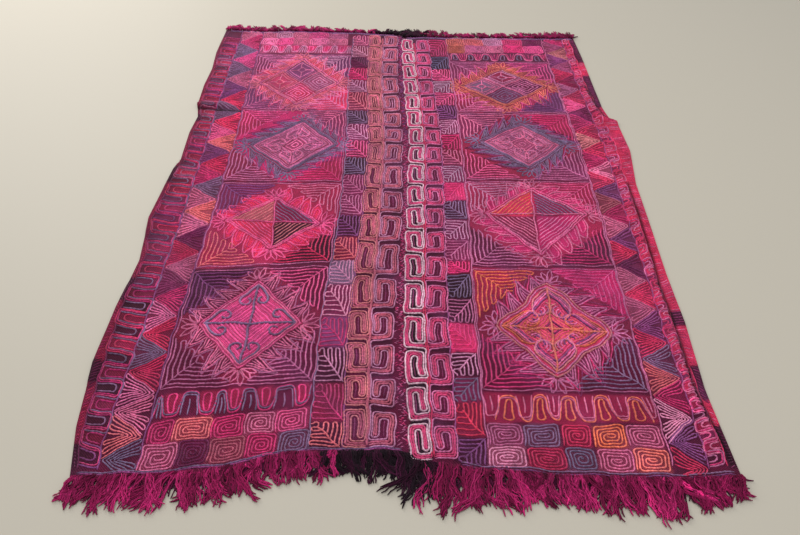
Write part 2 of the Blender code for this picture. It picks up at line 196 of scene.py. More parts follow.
# The lines between the columns of the pattern, each at the places along the rug of LINE_ROWS.
# A line is the right-hand side of the column it is named for.
LINE_ROWS = (-1.14, -1.00, -0.65, -0.20, 0.25, 0.70, 1.12)
LINES = {
    "hem_left": (-0.806, -0.824, -0.836, -0.845, -0.816, -0.818, -0.808),
    "meander_left": (-0.757, -0.762, -0.755, -0.747, -0.745, -0.747, -0.740),
    "triangles_left": (-0.660, -0.662, -0.665, -0.647, -0.640, -0.645, -0.640),
    "field_left": (-0.250, -0.252, -0.252, -0.222, -0.217, -0.232, -0.222),
    "leaves_left": (-0.166, -0.167, -0.170, -0.145, -0.132, -0.150, -0.147),
    "rust_left": (-0.102, -0.103, -0.107, -0.086, -0.073, -0.092, -0.088),
    "rust_right": (-0.034, -0.035, -0.040, -0.012, -0.005, -0.022, -0.017),
    "seam": (0.000, -0.002, -0.010, 0.004, 0.022, 0.003, 0.000),
    "white_hooks": (0.058, 0.057, 0.052, 0.065, 0.080, 0.062, 0.055),
    "mauve_hooks": (0.120, 0.120, 0.120, 0.132, 0.145, 0.127, 0.122),
    "leaves_right": (0.194, 0.195, 0.197, 0.212, 0.220, 0.212, 0.202),
    "field_right": (0.646, 0.647, 0.650, 0.667, 0.667, 0.652, 0.645),
    "triangles_right": (0.735, 0.737, 0.742, 0.752, 0.762, 0.742, 0.742),
    "meander_right": (0.783, 0.778, 0.772, 0.784, 0.806, 0.774, 0.776),
}
LINE_NAMES = list(LINES)

# The leaf cells of both columns: where the first begins, then each one's far end, yarn and ground.
LEAVES_START = {"leaves_left": -1.062, "leaves_right": -1.108}
LEAVES = {
    "leaves_left": [
        (-0.985, "coral", "dark"), (-0.865, "magenta", "wine"), (-0.745, "lilac", "dark"),
        (-0.635, "magenta", "violet"), (-0.500, "pale", "plum"), (-0.395, "lilac", "slate"),
        (-0.290, "coral", "wine"), (-0.180, "violet", "dark"), (-0.070, "mauve", "plum"),
        (0.040, "mauve", "plum"), (0.145, "slate", "black"), (0.255, "pink", "wine"),
        (0.365, "lilac", "plum"), (0.460, "slate", "black"), (0.595, "salmon", "wine"),
        (0.695, "lilac", "plum"), (0.795, "hot", "wine"), (0.890, "plum", "dark"),
        (0.990, "pale", "wine"), (1.090, "rose", "plum"),
    ],
    "leaves_right": [
        (-1.030, "violet", "dark"), (-0.925, "red", "wine"), (-0.845, "slate", "plum"),
        (-0.760, "lilac", "dark"), (-0.655, "hot", "magenta"), (-0.555, "mauve", "dark"),
        (-0.455, "slate", "black"), (-0.400, "hot", "wine"), (-0.300, "mauve", "plum"),
        (-0.200, "lilac", "plum"), (-0.100, "slate", "dark"), (0.000, "hot", "magenta"),
        (0.100, "grey", "plum"), (0.200, "rose", "wine"), (0.300, "hot", "wine"),
        (0.400, "lilac", "plum"), (0.500, "violet", "dark"), (0.600, "pink", "wine"),
        (0.695, "grey", "plum"), (0.790, "pink", "wine"), (0.900, "blue", "black"),
        (1.060, "magenta", "wine"),
    ],
}

# The triangles point right and left by turns. The first table gives the place of some of the tips,
# with the others evenly between them; the second each triangle's yarn, from the near end.
TRIANGLE_TIPS = {
    "triangles_left": np.array([
        (0, -1.096), (1, -1.030), (22, 0.366), (24, 0.530), (31, 1.100), (32, 1.180)]),
    "triangles_right": np.array([
        (0, -1.190), (1, -1.116), (2, -1.050), (3, -0.9705), (37, 1.1205)]),
}
TRIANGLE_ENDS = {"triangles_left": (-1.127, 1.118), "triangles_right": (-1.133, 1.070)}
TRIANGLES = {
    "triangles_left": (
        "slate coral rose blush crimson slate crimson blush magenta plum rose crimson plum rose coral "
        "rose slate magenta crimson violet coral pink crimson slate crimson violet rose slate bloom slate "
        "magenta rose"
    ).split(),
    "triangles_right": (
        "rose crimson violet pale hot coral slate crimson violet rose crimson rose plum crimson violet "
        "rose magenta brown violet crimson rose magenta crimson rust crimson magenta plum pink crimson "
        "mauve madder crimson orchid violet rust orchid magenta"
    ).split(),
}

# The finger borders: height of a pair of fingers, how far they slant, and the yarn and ground of each
# finger. The first pairs come once, from the near end, and the others by turns after them.
FingerBorder = namedtuple("FingerBorder", "column step lean first_pairs other_pairs")
FINGER_BORDER_ENDS = (-1.105, 1.10)
FINGER_BORDERS = [
    FingerBorder("meander_left", 0.098, -0.012, [
        "violet dark cerise wine", "slate dark cerise wine", "slate black cerise wine",
        "slate dark crimson madder", "slate dark crimson wine", "slate black cerise wine",
        "slate plum crimson wine", "slate plum crimson madder",
    ], ["slate plum crimson madder", "violet plum magenta madder", "slate plum red madder",
        "slate wine rose crimson"]),
    FingerBorder("meander_right", 0.062, 0.012, [
        "mauve dark rose madder", "pink plum rose madder", "mauve dark pink madder",
        "rose madder rose crimson",
    ], ["rose crimson crimson madder", "crimson plum rose crimson", "mauve madder crimson crimson"]),
]

# The plain hems outside them: side, yarns, ground, and the stretches that are near-black.
Hem = namedtuple("Hem", "edge column side yarns ground dark_runs")
HEMS = [
    Hem(LEFT_EDGE, "hem_left", -1, ["cerise", "madder", "crimson"], "madder",
        [(-1.12, -1.05), (-0.87, -0.80), (-0.58, -0.48), (-0.02, 0.08), (0.37, 0.43)]),
    Hem(RIGHT_EDGE, "meander_right", 1, ["crimson", "carmine", "rose", "crimson"], "crimson",
        [(-1.12, -1.00), (-0.92, -0.81), (-0.66, -0.61), (0.50, 0.74), (0.86, 1.12)]),
]

# Single lines of yarn beside the columns, and those along the ends of the panels: cloth's end, from
# where to where across the rug, and which way is inwards.
BORDER_LINES = [
    ("hem_left", "plum", -1.12, 1.12), ("meander_left", "violet", -1.12, 1.12),
    ("triangles_left", "violet", -1.12, 1.12), ("field_right", "mauve", -1.11, 1.07),
    ("triangles_right", "violet", -1.12, 1.07), ("meander_right", "crimson", -1.11, 1.07),
]
LEAF_LINES = [("field_left", "slate"), ("leaves_left", "violet"), ("mauve_hooks", "violet"),
              ("leaves_right", "mauve")]
END_LINES = [(NEAR_LEFT, -0.80, -0.02, 1), (NEAR_RIGHT, 0.13, 0.79, 1), (FAR_LEFT, -0.80, -0.03, -1),
             (FAR_RIGHT, 0.02, 0.79, -1)]

# Rows of spiral squares: the row's near and far side, at its left and right end, then each square's
# start, end and yarn.
SquareRow = namedtuple("SquareRow", "column low high squares")
SQUARE_ROWS = [
    SquareRow("field_left", (-1.128, -1.066), (-1.055, -1.008), [
        (-0.660, -0.575, "rose"), (-0.573, -0.500, "plum"), (-0.497, -0.412, "brown"),
        (-0.407, -0.335, "magenta"), (-0.327, -0.253, "slate")]),
    SquareRow("field_left", (-1.052, -1.005), (-0.988, -0.945), [
        (-0.655, -0.597, "magenta"), (-0.593, -0.502, "coral"), (-0.500, -0.420, "hot"),
        (-0.416, -0.345, "rose"), (-0.340, -0.262, "pink")]),
    SquareRow("field_right", (-1.112, -1.128), (-1.058, -1.066), [
        (0.198, 0.290, "pale"), (0.296, 0.385, "crimson"), (0.391, 0.460, "slate"),
        (0.466, 0.550, "rose"), (0.556, 0.640, "apricot")]),
    SquareRow("field_right", (-1.054, -1.060), (-0.992, -0.998), [
        (0.200, 0.285, "mauve"), (0.290, 0.380, "slate"), (0.390, 0.460, "crimson"),
        (0.468, 0.550, "orange"), (0.556, 0.640, "rose")]),
    SquareRow("field_left", (1.000, 1.000), (1.058, 1.058), [
        (-0.640, -0.570, "blush"), (-0.567, -0.495, "bloom"), (-0.492, -0.420, "rose"),
        (-0.417, -0.335, "blush"), (-0.332, -0.250, "rose")]),
    SquareRow("field_left", (1.062, 1.062), (1.118, 1.112), [
        (-0.640, -0.580, "rose"), (-0.577, -0.505, "lilac"), (-0.502, -0.430, "rose"),
        (-0.427, -0.340, "bloom"), (-0.337, -0.250, "mauve")]),
    SquareRow("field_right", (0.940, 0.940), (1.002, 1.002), [
        (0.205, 0.285, "apricot"), (0.287, 0.370, "blush"), (0.373, 0.460, "rose"),
        (0.463, 0.550, "hot"), (0.553, 0.640, "bloom")]),
    SquareRow("field_right", (1.006, 1.006), (1.072, 1.072), [
        (0.205, 0.285, "apricot"), (0.287, 0.370, "coral"), (0.373, 0.460, "lilac"),
        (0.463, 0.550, "magenta"), (0.553, 0.640, "plum")]),
]

# Bands of tongues and arches: sides as above, the tongues' middles, dyes, whether the tongues hang.
TongueBand = namedtuple("TongueBand", "column low high middles tongue arch line hollow ground hangs")
TONGUE_BANDS = [
    TongueBand("field_left", (-0.985, -0.942), (-0.895, -0.862), (-0.615, -0.525, -0.455, -0.375, -0.280),
               "hot", "slate", "magenta", "madder", "ground", True),
    TongueBand("field_right", (-0.988, -0.992), (-0.898, -0.902), (0.260, 0.345, 0.420, 0.510, 0.598),
               "orange", "rose", "orange", "madder", "madder", False),
    TongueBand("field_left", (0.918, 0.918), (0.998, 0.998), (-0.610, -0.545, -0.480, -0.410, -0.340, -0.270),
               "bloom", "lilac", "blush", "hot", "orchid", True),
    TongueBand("field_right", (0.862, 0.862), (0.936, 0.936), (0.235, 0.305, 0.375, 0.450, 0.525, 0.605),
               "slate", "magenta", "rose", "dark", "plum", False),
]

# The eight medallions: the cell's sides as above, the four tips, the yarn and ground of its corners
# (top left, top right, bottom left, bottom right), the other dyes, what fills it and how its leaves spin.
Medallion = namedtuple(
    "Medallion", "column low high left right top bottom corners rays shadow echo rim heart ground fill spin")
MEDALLIONS = [
    Medallion("field_left", (-0.890, -0.862), (-0.450, -0.420), (-0.600, -0.660), (-0.305, -0.655),
              (-0.450, -0.490), (-0.460, -0.820), "violet dark pink ground heather ground mauve ground",
              "rose", "ground", "heather", "pink", "bloom", "wine", "cross", -0.3),
    Medallion("field_left", (-0.440, -0.408), (-0.010, -0.008), (-0.600, -0.210), (-0.280, -0.220),
              (-0.445, -0.090), (-0.430, -0.345), "violet plum rose madder coral madder crimson dark",
              "pink", "crimson", "hot", "pink", "rust", "madder", "quarters", -0.5),
    Medallion("field_left", (0.000, 0.000), (0.460, 0.458), (-0.590, 0.210), (-0.245, 0.230),
              (-0.390, 0.390), (-0.420, 0.055), "bloom madder rose plum mauve wine magenta madder",
              "slate", "plum", "violet", "slate", "blush", "cerise", "scroll", -0.9),
    Medallion("field_left", (0.466, 0.464), (0.908, 0.908), (-0.600, 0.665), (-0.270, 0.670),
              (-0.435, 0.870), (-0.430, 0.500), "mauve plum lilac purple orchid purple blush crimson",
              "salmon", "crimson", "blush", "blush", "rose", "orchid", "lattice", -0.4),
    Medallion("field_right", (-0.890, -0.895), (-0.430, -0.428), (0.262, -0.665), (0.592, -0.690),
              (0.430, -0.495), (0.405, -0.842), "orange madder bloom cerise magenta ground slate ground",
              "mauve", "plum", "magenta", "rust", "flamingo", "wine", "lobes", 0.5),
    Medallion("field_right", (-0.420, -0.420), (0.008, 0.008), (0.270, -0.170), (0.620, -0.170),
              (0.445, -0.030), (0.430, -0.370), "lilac madder pink madder mauve ground magenta ground",
              "rose", "cerise", "pink", "pink", "rose", "madder", "quarters", 0.6),
    Medallion("field_right", (0.016, 0.016), (0.440, 0.440), (0.285, 0.255), (0.610, 0.225),
              (0.465, 0.380), (0.460, 0.080), "rose plum magenta madder pink wine mauve plum",
              "slate", "dark", "violet", "slate", "rose", "madder", "scroll", 0.9),
    Medallion("field_right", (0.448, 0.448), (0.856, 0.856), (0.240, 0.650), (0.610, 0.650),
              (0.430, 0.800), (0.420, 0.500), "mauve plum bloom plum blush madder violet purple",
              "apricot", "madder", "bloom", "apricot", "rose", "madder", "lattice", 0.4),
]
# What fills a medallion's four quarters or lattice diamonds: yarn, ground, stripe heading in degrees.
QUARTERS = {
    "field_left": [
        ("rust", "brown", 45), ("slate", "berry", -45), ("pink", "crimson", -45), ("rust", "dark", 45)],
    "field_right": [
        ("orange", "crimson", 45), ("slate", "berry", -45), ("rose", "wine", -45), ("blush", "cerise", 45)],
}
LATTICES = {
    "field_left": [("mauve", "violet"), ("lilac", "orchid"), ("salmon", "carmine"), ("blush", "crimson")],
    "field_right": [("lilac", "madder"), ("mauve", "ground"), ("rose", "slate"), ("slate", "plum")],
}

# The lines between the blocks of hooks, from the near end.
WHITE_BLOCKS = (-1.095, -0.983, -0.873, -0.750, -0.620, -0.490, -0.362, -0.248, -0.130, -0.016,
                0.110, 0.225, 0.342, 0.462, 0.580, 0.704, 0.827, 0.942, 1.066)
RUST_BLOCKS = (-1.062, -0.940, -0.835, -0.720, -0.600, -0.460, -0.308, -0.168, -0.036, 0.110,
               0.242, 0.347, 0.457, 0.587, 0.727, 0.855, 0.985, 1.105)

SEAM_ENDS, SEAM_STEP = (-1.060, 1.085), 0.0031
FAR_SEAM = 0.3  # from here on the seam's stitches turn violet

# The fringe of each panel's end (-1 is the near one), and how it ends: place across the rug, place
# along it that the longest locks reach, and how far the locks lean there, in radians.
Fringe = namedtuple("Fringe", "piece node end cloth_end start stop tips seed")
FRINGES = [
    Fringe("tassels_near_left", "fringe_near_left", -1, NEAR_LEFT, -0.806, 0.0, np.array([
        (-0.81, -1.210, 0.05), (-0.74, -1.240, -0.35), (-0.58, -1.244, -0.40), (-0.50, -1.235, -0.10),
        (-0.43, -1.228, 0.30), (-0.36, -1.176, -0.10), (-0.28, -1.176, 0.05), (-0.20, -1.170, 0.15),
        (-0.12, -1.154, 0.10), (0.00, -1.195, 0.15)]), 71),
    Fringe("tassels_near_right", "fringe_near_right", -1, NEAR_RIGHT, 0.0, 0.802, np.array([
        (0.00, -1.232, 0.05), (0.12, -1.266, 0.12), (0.25, -1.250, 0.02), (0.45, -1.254, 0.10),
        (0.60, -1.274, 0.15), (0.70, -1.250, 0.10), (0.80, -1.205, -0.10)]), 72),
    Fringe("tassels_far_left", "fringe_far_left", 1, FAR_LEFT, -0.818, 0.0, np.array([
        (-0.82, 1.206, 0.25), (-0.66, 1.180, 0.10), (-0.50, 1.206, 0.15), (-0.30, 1.176, -0.10),
        (0.00, 1.168, 0.05)]), 73),
    Fringe("tassels_far_right", "fringe_far_right", 1, FAR_RIGHT, 0.0, 0.798, np.array([
        (0.00, 1.176, 0.00), (0.08, 1.180, 0.10), (0.22, 1.148, -0.20), (0.45, 1.142, -0.10),
        (0.62, 1.162, 0.10), (0.80, 1.162, -0.25)]), 74),
]
# Stretches of the far right end where the fringe has worn away.
WORN_GAPS = [(0.100, 0.122), (0.160, 0.170), (0.236, 0.264), (0.300, 0.308), (0.338, 0.354),
             (0.410, 0.418), (0.500, 0.510), (0.590, 0.598), (0.655, 0.668)]
# Where the two panels meet the locks are near-black, at the near end and at the far end.
DARK_LOCKS, NEAR_DARK, FAR_DARK = "black black dark dark".split(), (-0.20, 0.07), (-0.13, 0.10)
BRIGHT_LOCKS = "cerise berry cerise berry berry cerise berry cerise".split()
NEAR_BENDS, FAR_BENDS, SHORT_BENDS = 11, 6, 4  # straight bits in a strand
LOCK_ROOT, SHORT_ROOT = 0.0035, 0.006  # how far in from the cloth's end a strand sets out
# Height of a strand at its lowest, the most that a whole lock and one strand in it lie higher, and the
# hump over the knot. At its tip a strand has lost most of that height again.
LOCK_FOOT, LOCK_RISE, LOCK_DEPTH, LOCK_HUMP, LOCK_SINK = 0.0017, 0.0080, 0.0035, 0.0032, 0.80
SHORT_FOOT, SHORT_RISE = 0.0019, 0.0012
SHARPEST_TURN = 1.25  # in radians from straight out
KNOT_PLACES, KNOT_FOOT = np.array([0.0050, 0.0075, 0.0110, 0.0140]), 0.0042  # from the root on, and height

FLOOR_SIZE, FLOOR_PLACE = 80.0, (0.0, 2.0, -0.0004)
# The soft lights: name, place, what it faces, size, colour.
LAMPS = [
    ("side", (-2.6, 3.2, 2.4), (0.0, 0.2, 0.0), 3.0, (1.0, 0.97, 0.93)),
    ("overhead", (0.4, -0.6, 3.4), (0.0, 0.0, 0.0), 3.2, (1.0, 0.98, 0.96)),
]
SKY_COLOUR = (0.95, 0.97, 1.0, 1.0)
CAMERA_PLACE = (-0.04786, -1.93838, 1.55403)
CAMERA_PITCH, CAMERA_ROLL, CAMERA_YAW = 0.78784, 0.019253, 0.020832
LENS_MM = 31.5
BODY = "root"


def colour_of(name):
    """A named dye as a linear colour, by the screen's own curve."""
    channels = [int(DYES[name][place:place + 2], 16) / 255.0 for place in (0, 2, 4)]
    return np.array([((c + 0.055) / 1.055) ** 2.4 if c > 0.04045 else c / 12.92 for c in channels])


def pairs_of(names):
    """Yarns and grounds from a line that names them by turns."""
    names = names.split()
    return list(zip(names[::2], names[1::2]))


def line_x(name, y):
    """Place across the rug of a column line, at places along it."""
    place = np.interp(y, LINE_ROWS, LINES[name])
    return np.maximum(place, read(LEFT_EDGE, y) + HEM_WIDTH) if name == "hem_left" else place


def read(table, place):
    """The second column of a table, at places in its first."""
    return np.interp(place, table[:, 0], table[:, 1])


def fold_rise(x, y):
    """How far the cloth's underside stands off the floor."""
    rise = np.zeros_like(x)
    for start, end in [pair for fold in FOLDS for pair in zip(fold, fold[1:])]:
        run_x, run_y = end.x - start.x, end.y - start.y
        from_x, from_y = x - start.x, y - start.y
        share = np.clip((from_x * run_x + from_y * run_y) / (run_x**2 + run_y**2), 0.0, 1.0)
        away = np.hypot(from_x - share * run_x, from_y - share * run_y)
        width = np.where(run_x * from_y - run_y * from_x > 0.0, start.left, start.right)
        crest = start.rise + share * (end.rise - start.rise)
        rise = np.maximum(rise, crest * 0.5 * (1.0 + np.cos(np.pi * np.minimum(away / width, 1.0))))
    return rise


def ripple(x, y):
    """The slight waviness of cloth that has been stored folded; never below nothing."""
    total = np.zeros_like(x)
    for wave, height, heading, phase in RIPPLES:
        turn = math.radians(heading)
        run = x * math.cos(turn) + y * math.sin(turn)
        total += height * (1.0 + np.sin(2.0 * np.pi * run / wave + phase))
    return total * 0.5


def wander(points):
    """How far the embroiderer's drawing has strayed at each place."""
    shift = np.zeros_like(points)
    for wave, size, heading, lean, phase in WANDERS:
        turn, aside = math.radians(heading), math.radians(lean)
        run = points[:, 0] * math.cos(turn) + points[:, 1] * math.sin(turn)
        swing = size * np.sin(2.0 * np.pi * run / wave + phase)
        shift += swing[:, None] * np.array([math.cos(aside), math.sin(aside)])
    return shift


def crease_shadow(points):
    """Where the painted crease shadow lies at each place: 1 on its line, 0 away from it."""
    away = np.full(len(points), 1.0)
    for crease in CREASE_SHADOWS:
        line = np.array(crease)
        for start, end in zip(line, line[1:]):
            run = end - start
            share = np.clip(((points - start) @ run) / (run @ run), 0.0, 1.0)
            away = np.minimum(away, np.linalg.norm(points - start - share[:, None] * run, axis=1))
    return np.exp(-((away / CREASE_SHADOW_WIDTH) ** 2))


def dyed(colour, points):
    """A dye as it took at each place, in washes and paler or darker by turns, with painted shade at the
    creases and the left edge.
    """
    x, y = points[:, 0], points[:, 1]
    strength, violet = np.ones(len(points)), np.full(len(points), LEAST_VIOLET)
    for wave_x, wave_y, phase_x, phase_y, swing, lean in WASHES:
        blot = np.sin(2.0 * np.pi * x / wave_x + phase_x + WASH_BEND * np.sin(y / wave_y))
        strength += swing * blot * np.sin(2.0 * np.pi * y / wave_y + phase_y)
        violet += lean * np.sin(2.0 * np.pi * (x + y) / (wave_x + wave_y) + phase_y)
    # Painted shadow along the crease lines and at the foot of the left-hand fold.
    strength *= 1.0 - CREASE_SHADOW_DEPTH * crease_shadow(points)
    # Painted shade, darker towards the left edge.
    strength *= 1.0 - LEFT_EDGE_PAINTED_SHADE * np.exp(-(((x - read(LEFT_EDGE, y)) / LEFT_EDGE_PAINTED_SHADE_WIDTH) ** 2))
    violet = np.clip(violet, 0.0, MOST_VIOLET)[:, None]
    return (colour * (1.0 - violet) + colour_of("violet") * violet) * strength[:, None]


def places_of(mesh):
    """The places of a mesh's points, one to a row."""
    places = np.empty(len(mesh.vertices) * 3)
    mesh.vertices.foreach_get("co", places)
    return places.reshape(-1, 3)


def store_dye(mesh, shades):
    """Give each point of a mesh its shade, for the wool to show."""
    dye = mesh.color_attributes.new("dye", "FLOAT_COLOR", "POINT")
    dye.data.foreach_set("color", np.hstack([shades, np.ones((len(shades), 1))]).ravel())


def evenly(points, step):
    """The same line with points an even step apart."""
    points = np.asarray(points, float)
    reach = np.concatenate([[0.0], np.cumsum(np.hypot(*np.diff(points, axis=0).T))])
    count = max(3, int(round(reach[-1] / step)) + 1)
    places = np.linspace(0.0, reach[-1], count)
    return np.stack([np.interp(places, reach, points[:, axis]) for axis in (0, 1)], -1)


def softened(points, softness):
    """The line with its corners rounded, as yarn goes round them."""
    fine = evenly(points, FINE_STEP)
    span = int(round(softness / FINE_STEP))
    if len(fine) <= 2 * span + 2:
        return fine
    ends = np.pad(fine, ((span, span), (0, 0)), mode="reflect", reflect_type="odd")
    weights = np.ones(2 * span + 1) / (2 * span + 1)
    return np.stack([np.convolve(ends[:, axis], weights, "valid") for axis in (0, 1)], -1)


def snake(lines):
    """Lines joined end to end, each back the way the last one came, as fingers with round ends."""
    path = []
    for number, line in enumerate(lines):
        path += list(line) if number % 2 == 0 else list(line)[::-1]
    return path


class Patch:
    """A cell of the pattern, which lays places given in metres from its near left corner."""

    def __init__(self, column, low, high, start=None, end=None):
        self.left = LINE_NAMES[LINE_NAMES.index(column) - 1]
        self.right = column
        self.low, self.high = np.broadcast_to(low, 2), np.broadcast_to(high, 2)
        middle = (self.low.mean() + self.high.mean()) / 2.0
        left, right = line_x(self.left, middle), line_x(self.right, middle)
        self.start = 0.0 if start is None else (start - left) / (right - left)
        self.end = 1.0 if end is None else (end - left) / (right - left)
        self.width = (self.end - self.start) * (right - left)
        self.height = self.high.mean() - self.low.mean()

    def lay(self, places, turn_x=False, turn_y=False):
        """Where places in the cell are on the rug; either way across the cell can be turned round."""
        places = np.asarray(places, float)
        across, up = places[:, 0] / self.width, places[:, 1] / self.height
        across = 1.0 - across if turn_x else across
        up = 1.0 - up if turn_y else up
        across = self.start + across * (self.end - self.start)
        low = self.low[0] + across * (self.low[1] - self.low[0])
        high = self.high[0] + across * (self.high[1] - self.high[0])
        y = low + up * (high - low)
        left, right = line_x(self.left, y), line_x(self.right, y)
        return np.stack([left + across * (right - left), y], -1)

    def outline(self, inset=0.0):
        """The cell's four corners on the rug, drawn in by an inset."""
        w, h = self.width - inset, self.height - inset
        return self.lay([(inset, inset), (w, inset), (w, h), (inset, h)])


class Needle:
    """Sews lines of yarn on the laid cloth and dyes the ground under them."""

    def __init__(self, seed):
        self.sizes = bpy.context.scene.rug_sizes
        self.chance = np.random.default_rng(seed)
        self.strands = []
        self.grounds = []

    def sew(self, points, dye, width=1.0, lift=0.0, softness=CORNER_SOFTNESS):
        """Sew a line of chain stitches, a little off its place and its dye."""
        line = softened(np.asarray(points, float) + self.chance.normal(0.0, HAND_SLIP, 2), softness)
        line = evenly(line + wander(line), self.sizes.stitch_step)
        bleed = self.chance.uniform(0.0, DYE_BLEED)
        shade = colour_of(dye) * (1.0 - bleed) + colour_of(self.chance.choice(BLEEDING_DYES)) * bleed
        shade *= math.exp(self.chance.normal(0.0, SHADE_SPREAD))
        self.strands.append((line, dyed(shade, line), width * self.sizes.yarn_width, lift))

    def dye(self, corners, name, blend=0.0):
        """Dye the ground inside a convex outline."""
        colour = colour_of(name) * (1.0 - blend) + colour_of("ground") * blend
        self.grounds.append((np.asarray(corners, float), colour))

    def tie_off(self, name):
        """Make all that was sewn one piece on the cloth."""
        dye_grounds(self.grounds)
        return make_strands(name, [lay_on_cloth(*strand) for strand in self.strands], self.chance)


def cloths():
    """The two panels, left and right."""
    return [bpy.data.objects["cloth_left"], bpy.data.objects["cloth_right"]]


def lay_on_cloth(line, shade, width, lift):
    """Drop a flat line on the cloth: its points and which way is up at each."""
    down = Vector((0.0, 0.0, -1.0))
    panels = cloths()
    height_beside = panels[0].dimensions.z / 4.0
    spots, ups = [], []
    for x, y in line + CLOTH_SHIFT:
        order = panels if x < line_x("seam", y) + CLOTH_SHIFT[0] else panels[::-1]
        for panel in order:
            hit, spot, up, _ = panel.ray_cast(Vector((x, y, DROP_HEIGHT)), down)
            if hit:
                break
        spots.append(tuple(spot) if hit else (x, y, height_beside))
        ups.append(tuple(up) if hit and up.z > STEEPEST_LAY else (0.0, 0.0, 1.0))
    spots, ups = np.array(spots), np.array(ups)
    return spots + ups * (lift - SINK), ups, shade, width


def make_strands(name, strands, chance, height_share=YARN_HEIGHT):
    """One mesh of thin three-sided strands, each a closed body."""
    corners, quads, caps, dyes, wraps = [], [], [], [], []
    base = 0
    for line, ups, shade, width in strands:
        count = len(line)
        across = np.cross(ups, np.gradient(line, axis=0))
        across /= np.linalg.norm(across, axis=1, keepdims=True) + NEXT_TO_NOTHING
        swell = np.where(np.arange(count) % 2 == 0, 1.0, BEAD)
        swell *= chance.uniform(1.0 - BEAD_SPREAD, 1.0 + BEAD_SPREAD, count)
        swell[[0, -1]] = END_TAPER
        foot = across * (0.5 * width * swell)[:, None]
        crest = ups * (SINK + height_share * width * swell)[:, None]
        corners.append(np.stack([line + foot, line + crest, line - foot], 1).reshape(-1, 3))
        start = base + 3 * np.arange(count - 1)[:, None]
        quads.append(np.concatenate([start + [0, 1, 4, 3], start + [2, 5, 4, 1], start + [0, 3, 5, 2]]))
        last = base + 3 * (count - 1)
        caps += [(base, base + 2, base + 1), (last, last + 1, last + 2)]
        speckle = chance.uniform(1.0 - STITCH_SPECKLE, 1.0 + STITCH_SPECKLE, (count, 1, 1))
        # Each stitch is paler or darker at random; its feet carry painted shade and its crest a painted
        # highlight.
        speckle_and_painted_light = speckle * np.array([FOOT_PAINTED_SHADE, CREST_PAINTED_HIGHLIGHT, FOOT_PAINTED_SHADE])
        dyes.append((speckle_and_painted_light * shade.reshape(-1, 1, 3)).reshape(-1, 3))
        reach = np.concatenate([[0.0], np.cumsum(np.linalg.norm(np.diff(line, axis=0), axis=1))])
        wraps.append(np.stack([np.repeat(reach, 3), np.tile([0.0, 0.5, 1.0], count)], -1))
        base += 3 * count
    mesh = bpy.data.meshes.new(name)
    mesh.from_pydata(np.concatenate(corners).tolist(), [], np.concatenate(quads).tolist() + caps)
    store_dye(mesh, np.concatenate(dyes))
    order = np.empty(len(mesh.loops), dtype=np.int32)
    mesh.loops.foreach_get("vertex_index", order)
    mesh.uv_layers.new(name="along").uv.foreach_set("vector", np.concatenate(wraps)[order].ravel())
    mesh.shade_smooth()
    piece = bpy.data.objects.new(name, mesh)
    bpy.context.scene.collection.objects.link(piece)
    return piece


def inside(corners, points):
    """Which points lie inside a convex outline."""
    signs = []
    for start, end in zip(corners, np.roll(corners, -1, axis=0)):
        run = end - start
        signs.append(run[0] * (points[:, 1] - start[1]) - run[1] * (points[:, 0] - start[0]))
    signs = np.array(signs)
    return np.all(signs >= 0.0, axis=0) | np.all(signs <= 0.0, axis=0)


def dye_grounds(grounds):
    """Colour the cloth's own wool inside each outline."""
    for panel in cloths():
        flat = places_of(panel.data)[:, :2] - CLOTH_SHIFT
        dye = panel.data.color_attributes["dye"]
        colours = np.empty(len(flat) * 4)
        dye.data.foreach_get("color", colours)
        colours = colours.reshape(-1, 4)
        for corners, colour in grounds:
            low, high = corners.min(0), corners.max(0)
            near = np.flatnonzero(np.all((flat >= low) & (flat <= high), axis=1))
            if len(near):
                near = near[inside(corners, flat[near])]
                colours[near, :3] = dyed(colour * GROUND_TINT, flat[near])
        dye.data.foreach_set("color", colours.ravel())


def corner_lines(width, height, count):
    """Nested corners from the near left one, with arms that run the whole width and height."""
    shares = [(number + 0.35) / count for number in range(count)]
    return [[(width * share, height), (width * share, height * share), (width, height * share)]
            for share in shares]


def gusset_lines(width, height, pitch, count):
    """Nested corners whose arms end on a slant, as in the corner of a medallion's cell."""
    widest, highest, least_arm = 0.9 * width, 0.9 * height, 0.5 * pitch
    lines = []
    for number in range(count):
        inset = pitch * (number + 0.6)
        if inset >= widest or inset >= highest:
            break
        arm_y = max(inset + least_arm, height * (1.0 - inset / width))
        arm_x = max(inset + least_arm, width * (1.0 - inset / height))
        lines.append([(inset, arm_y), (inset, inset), (arm_x, inset)])
    return lines


def chevron_lines(width, low, high, pitch):
    """Nested chevrons that point right, from their base on the left-hand side."""
    middle, half, base = (low + high) / 2.0, (high - low) / 2.0, 0.004
    lines = []
    for number in range(int(half / pitch)):
        inset = pitch * (number + 0.45)
        tip = width * (1.0 - CHEVRON_FAN * inset / half)
        lines.append([(base, low + inset), (tip, middle), (base, high - inset)])
    return lines


def spiral_line(width, height, pitch):
    """A squared spiral that winds from the near left corner to its middle."""
    inset, least, path = 0.0014, 0.6 * pitch, []
    while width - 2.0 * inset > least and height - 2.0 * inset > least:
        right, top = width - inset, height - inset
        path += [(inset, inset), (inset, top), (right, top), (right, inset), (inset + pitch, inset)]
        inset += pitch
        path.append((inset, inset))
    return path


def horn_line(width, height, depth, band, is_whole):
    """A hook's band at a depth from its outer edge: up the left side, over and down as the tongue.

    The whole line goes round the tongue's end and back, as the outline of the band.
    """
    left, right, top, tongue_end = 0.001, width - HOOK_GAP, height - 0.004, band + 0.0075
    out = [(width, depth), (left + depth, depth), (left + depth, top - depth), (right - depth, top - depth)]
    if not is_whole:
        return [*out, (right - depth, tongue_end + 0.004)]
    back = [(right, tongue_end), (right - band, tongue_end), (right - band, top - band)]
    return [*out, *back, (left + band, top - band), (left + band, band), (width, band)]


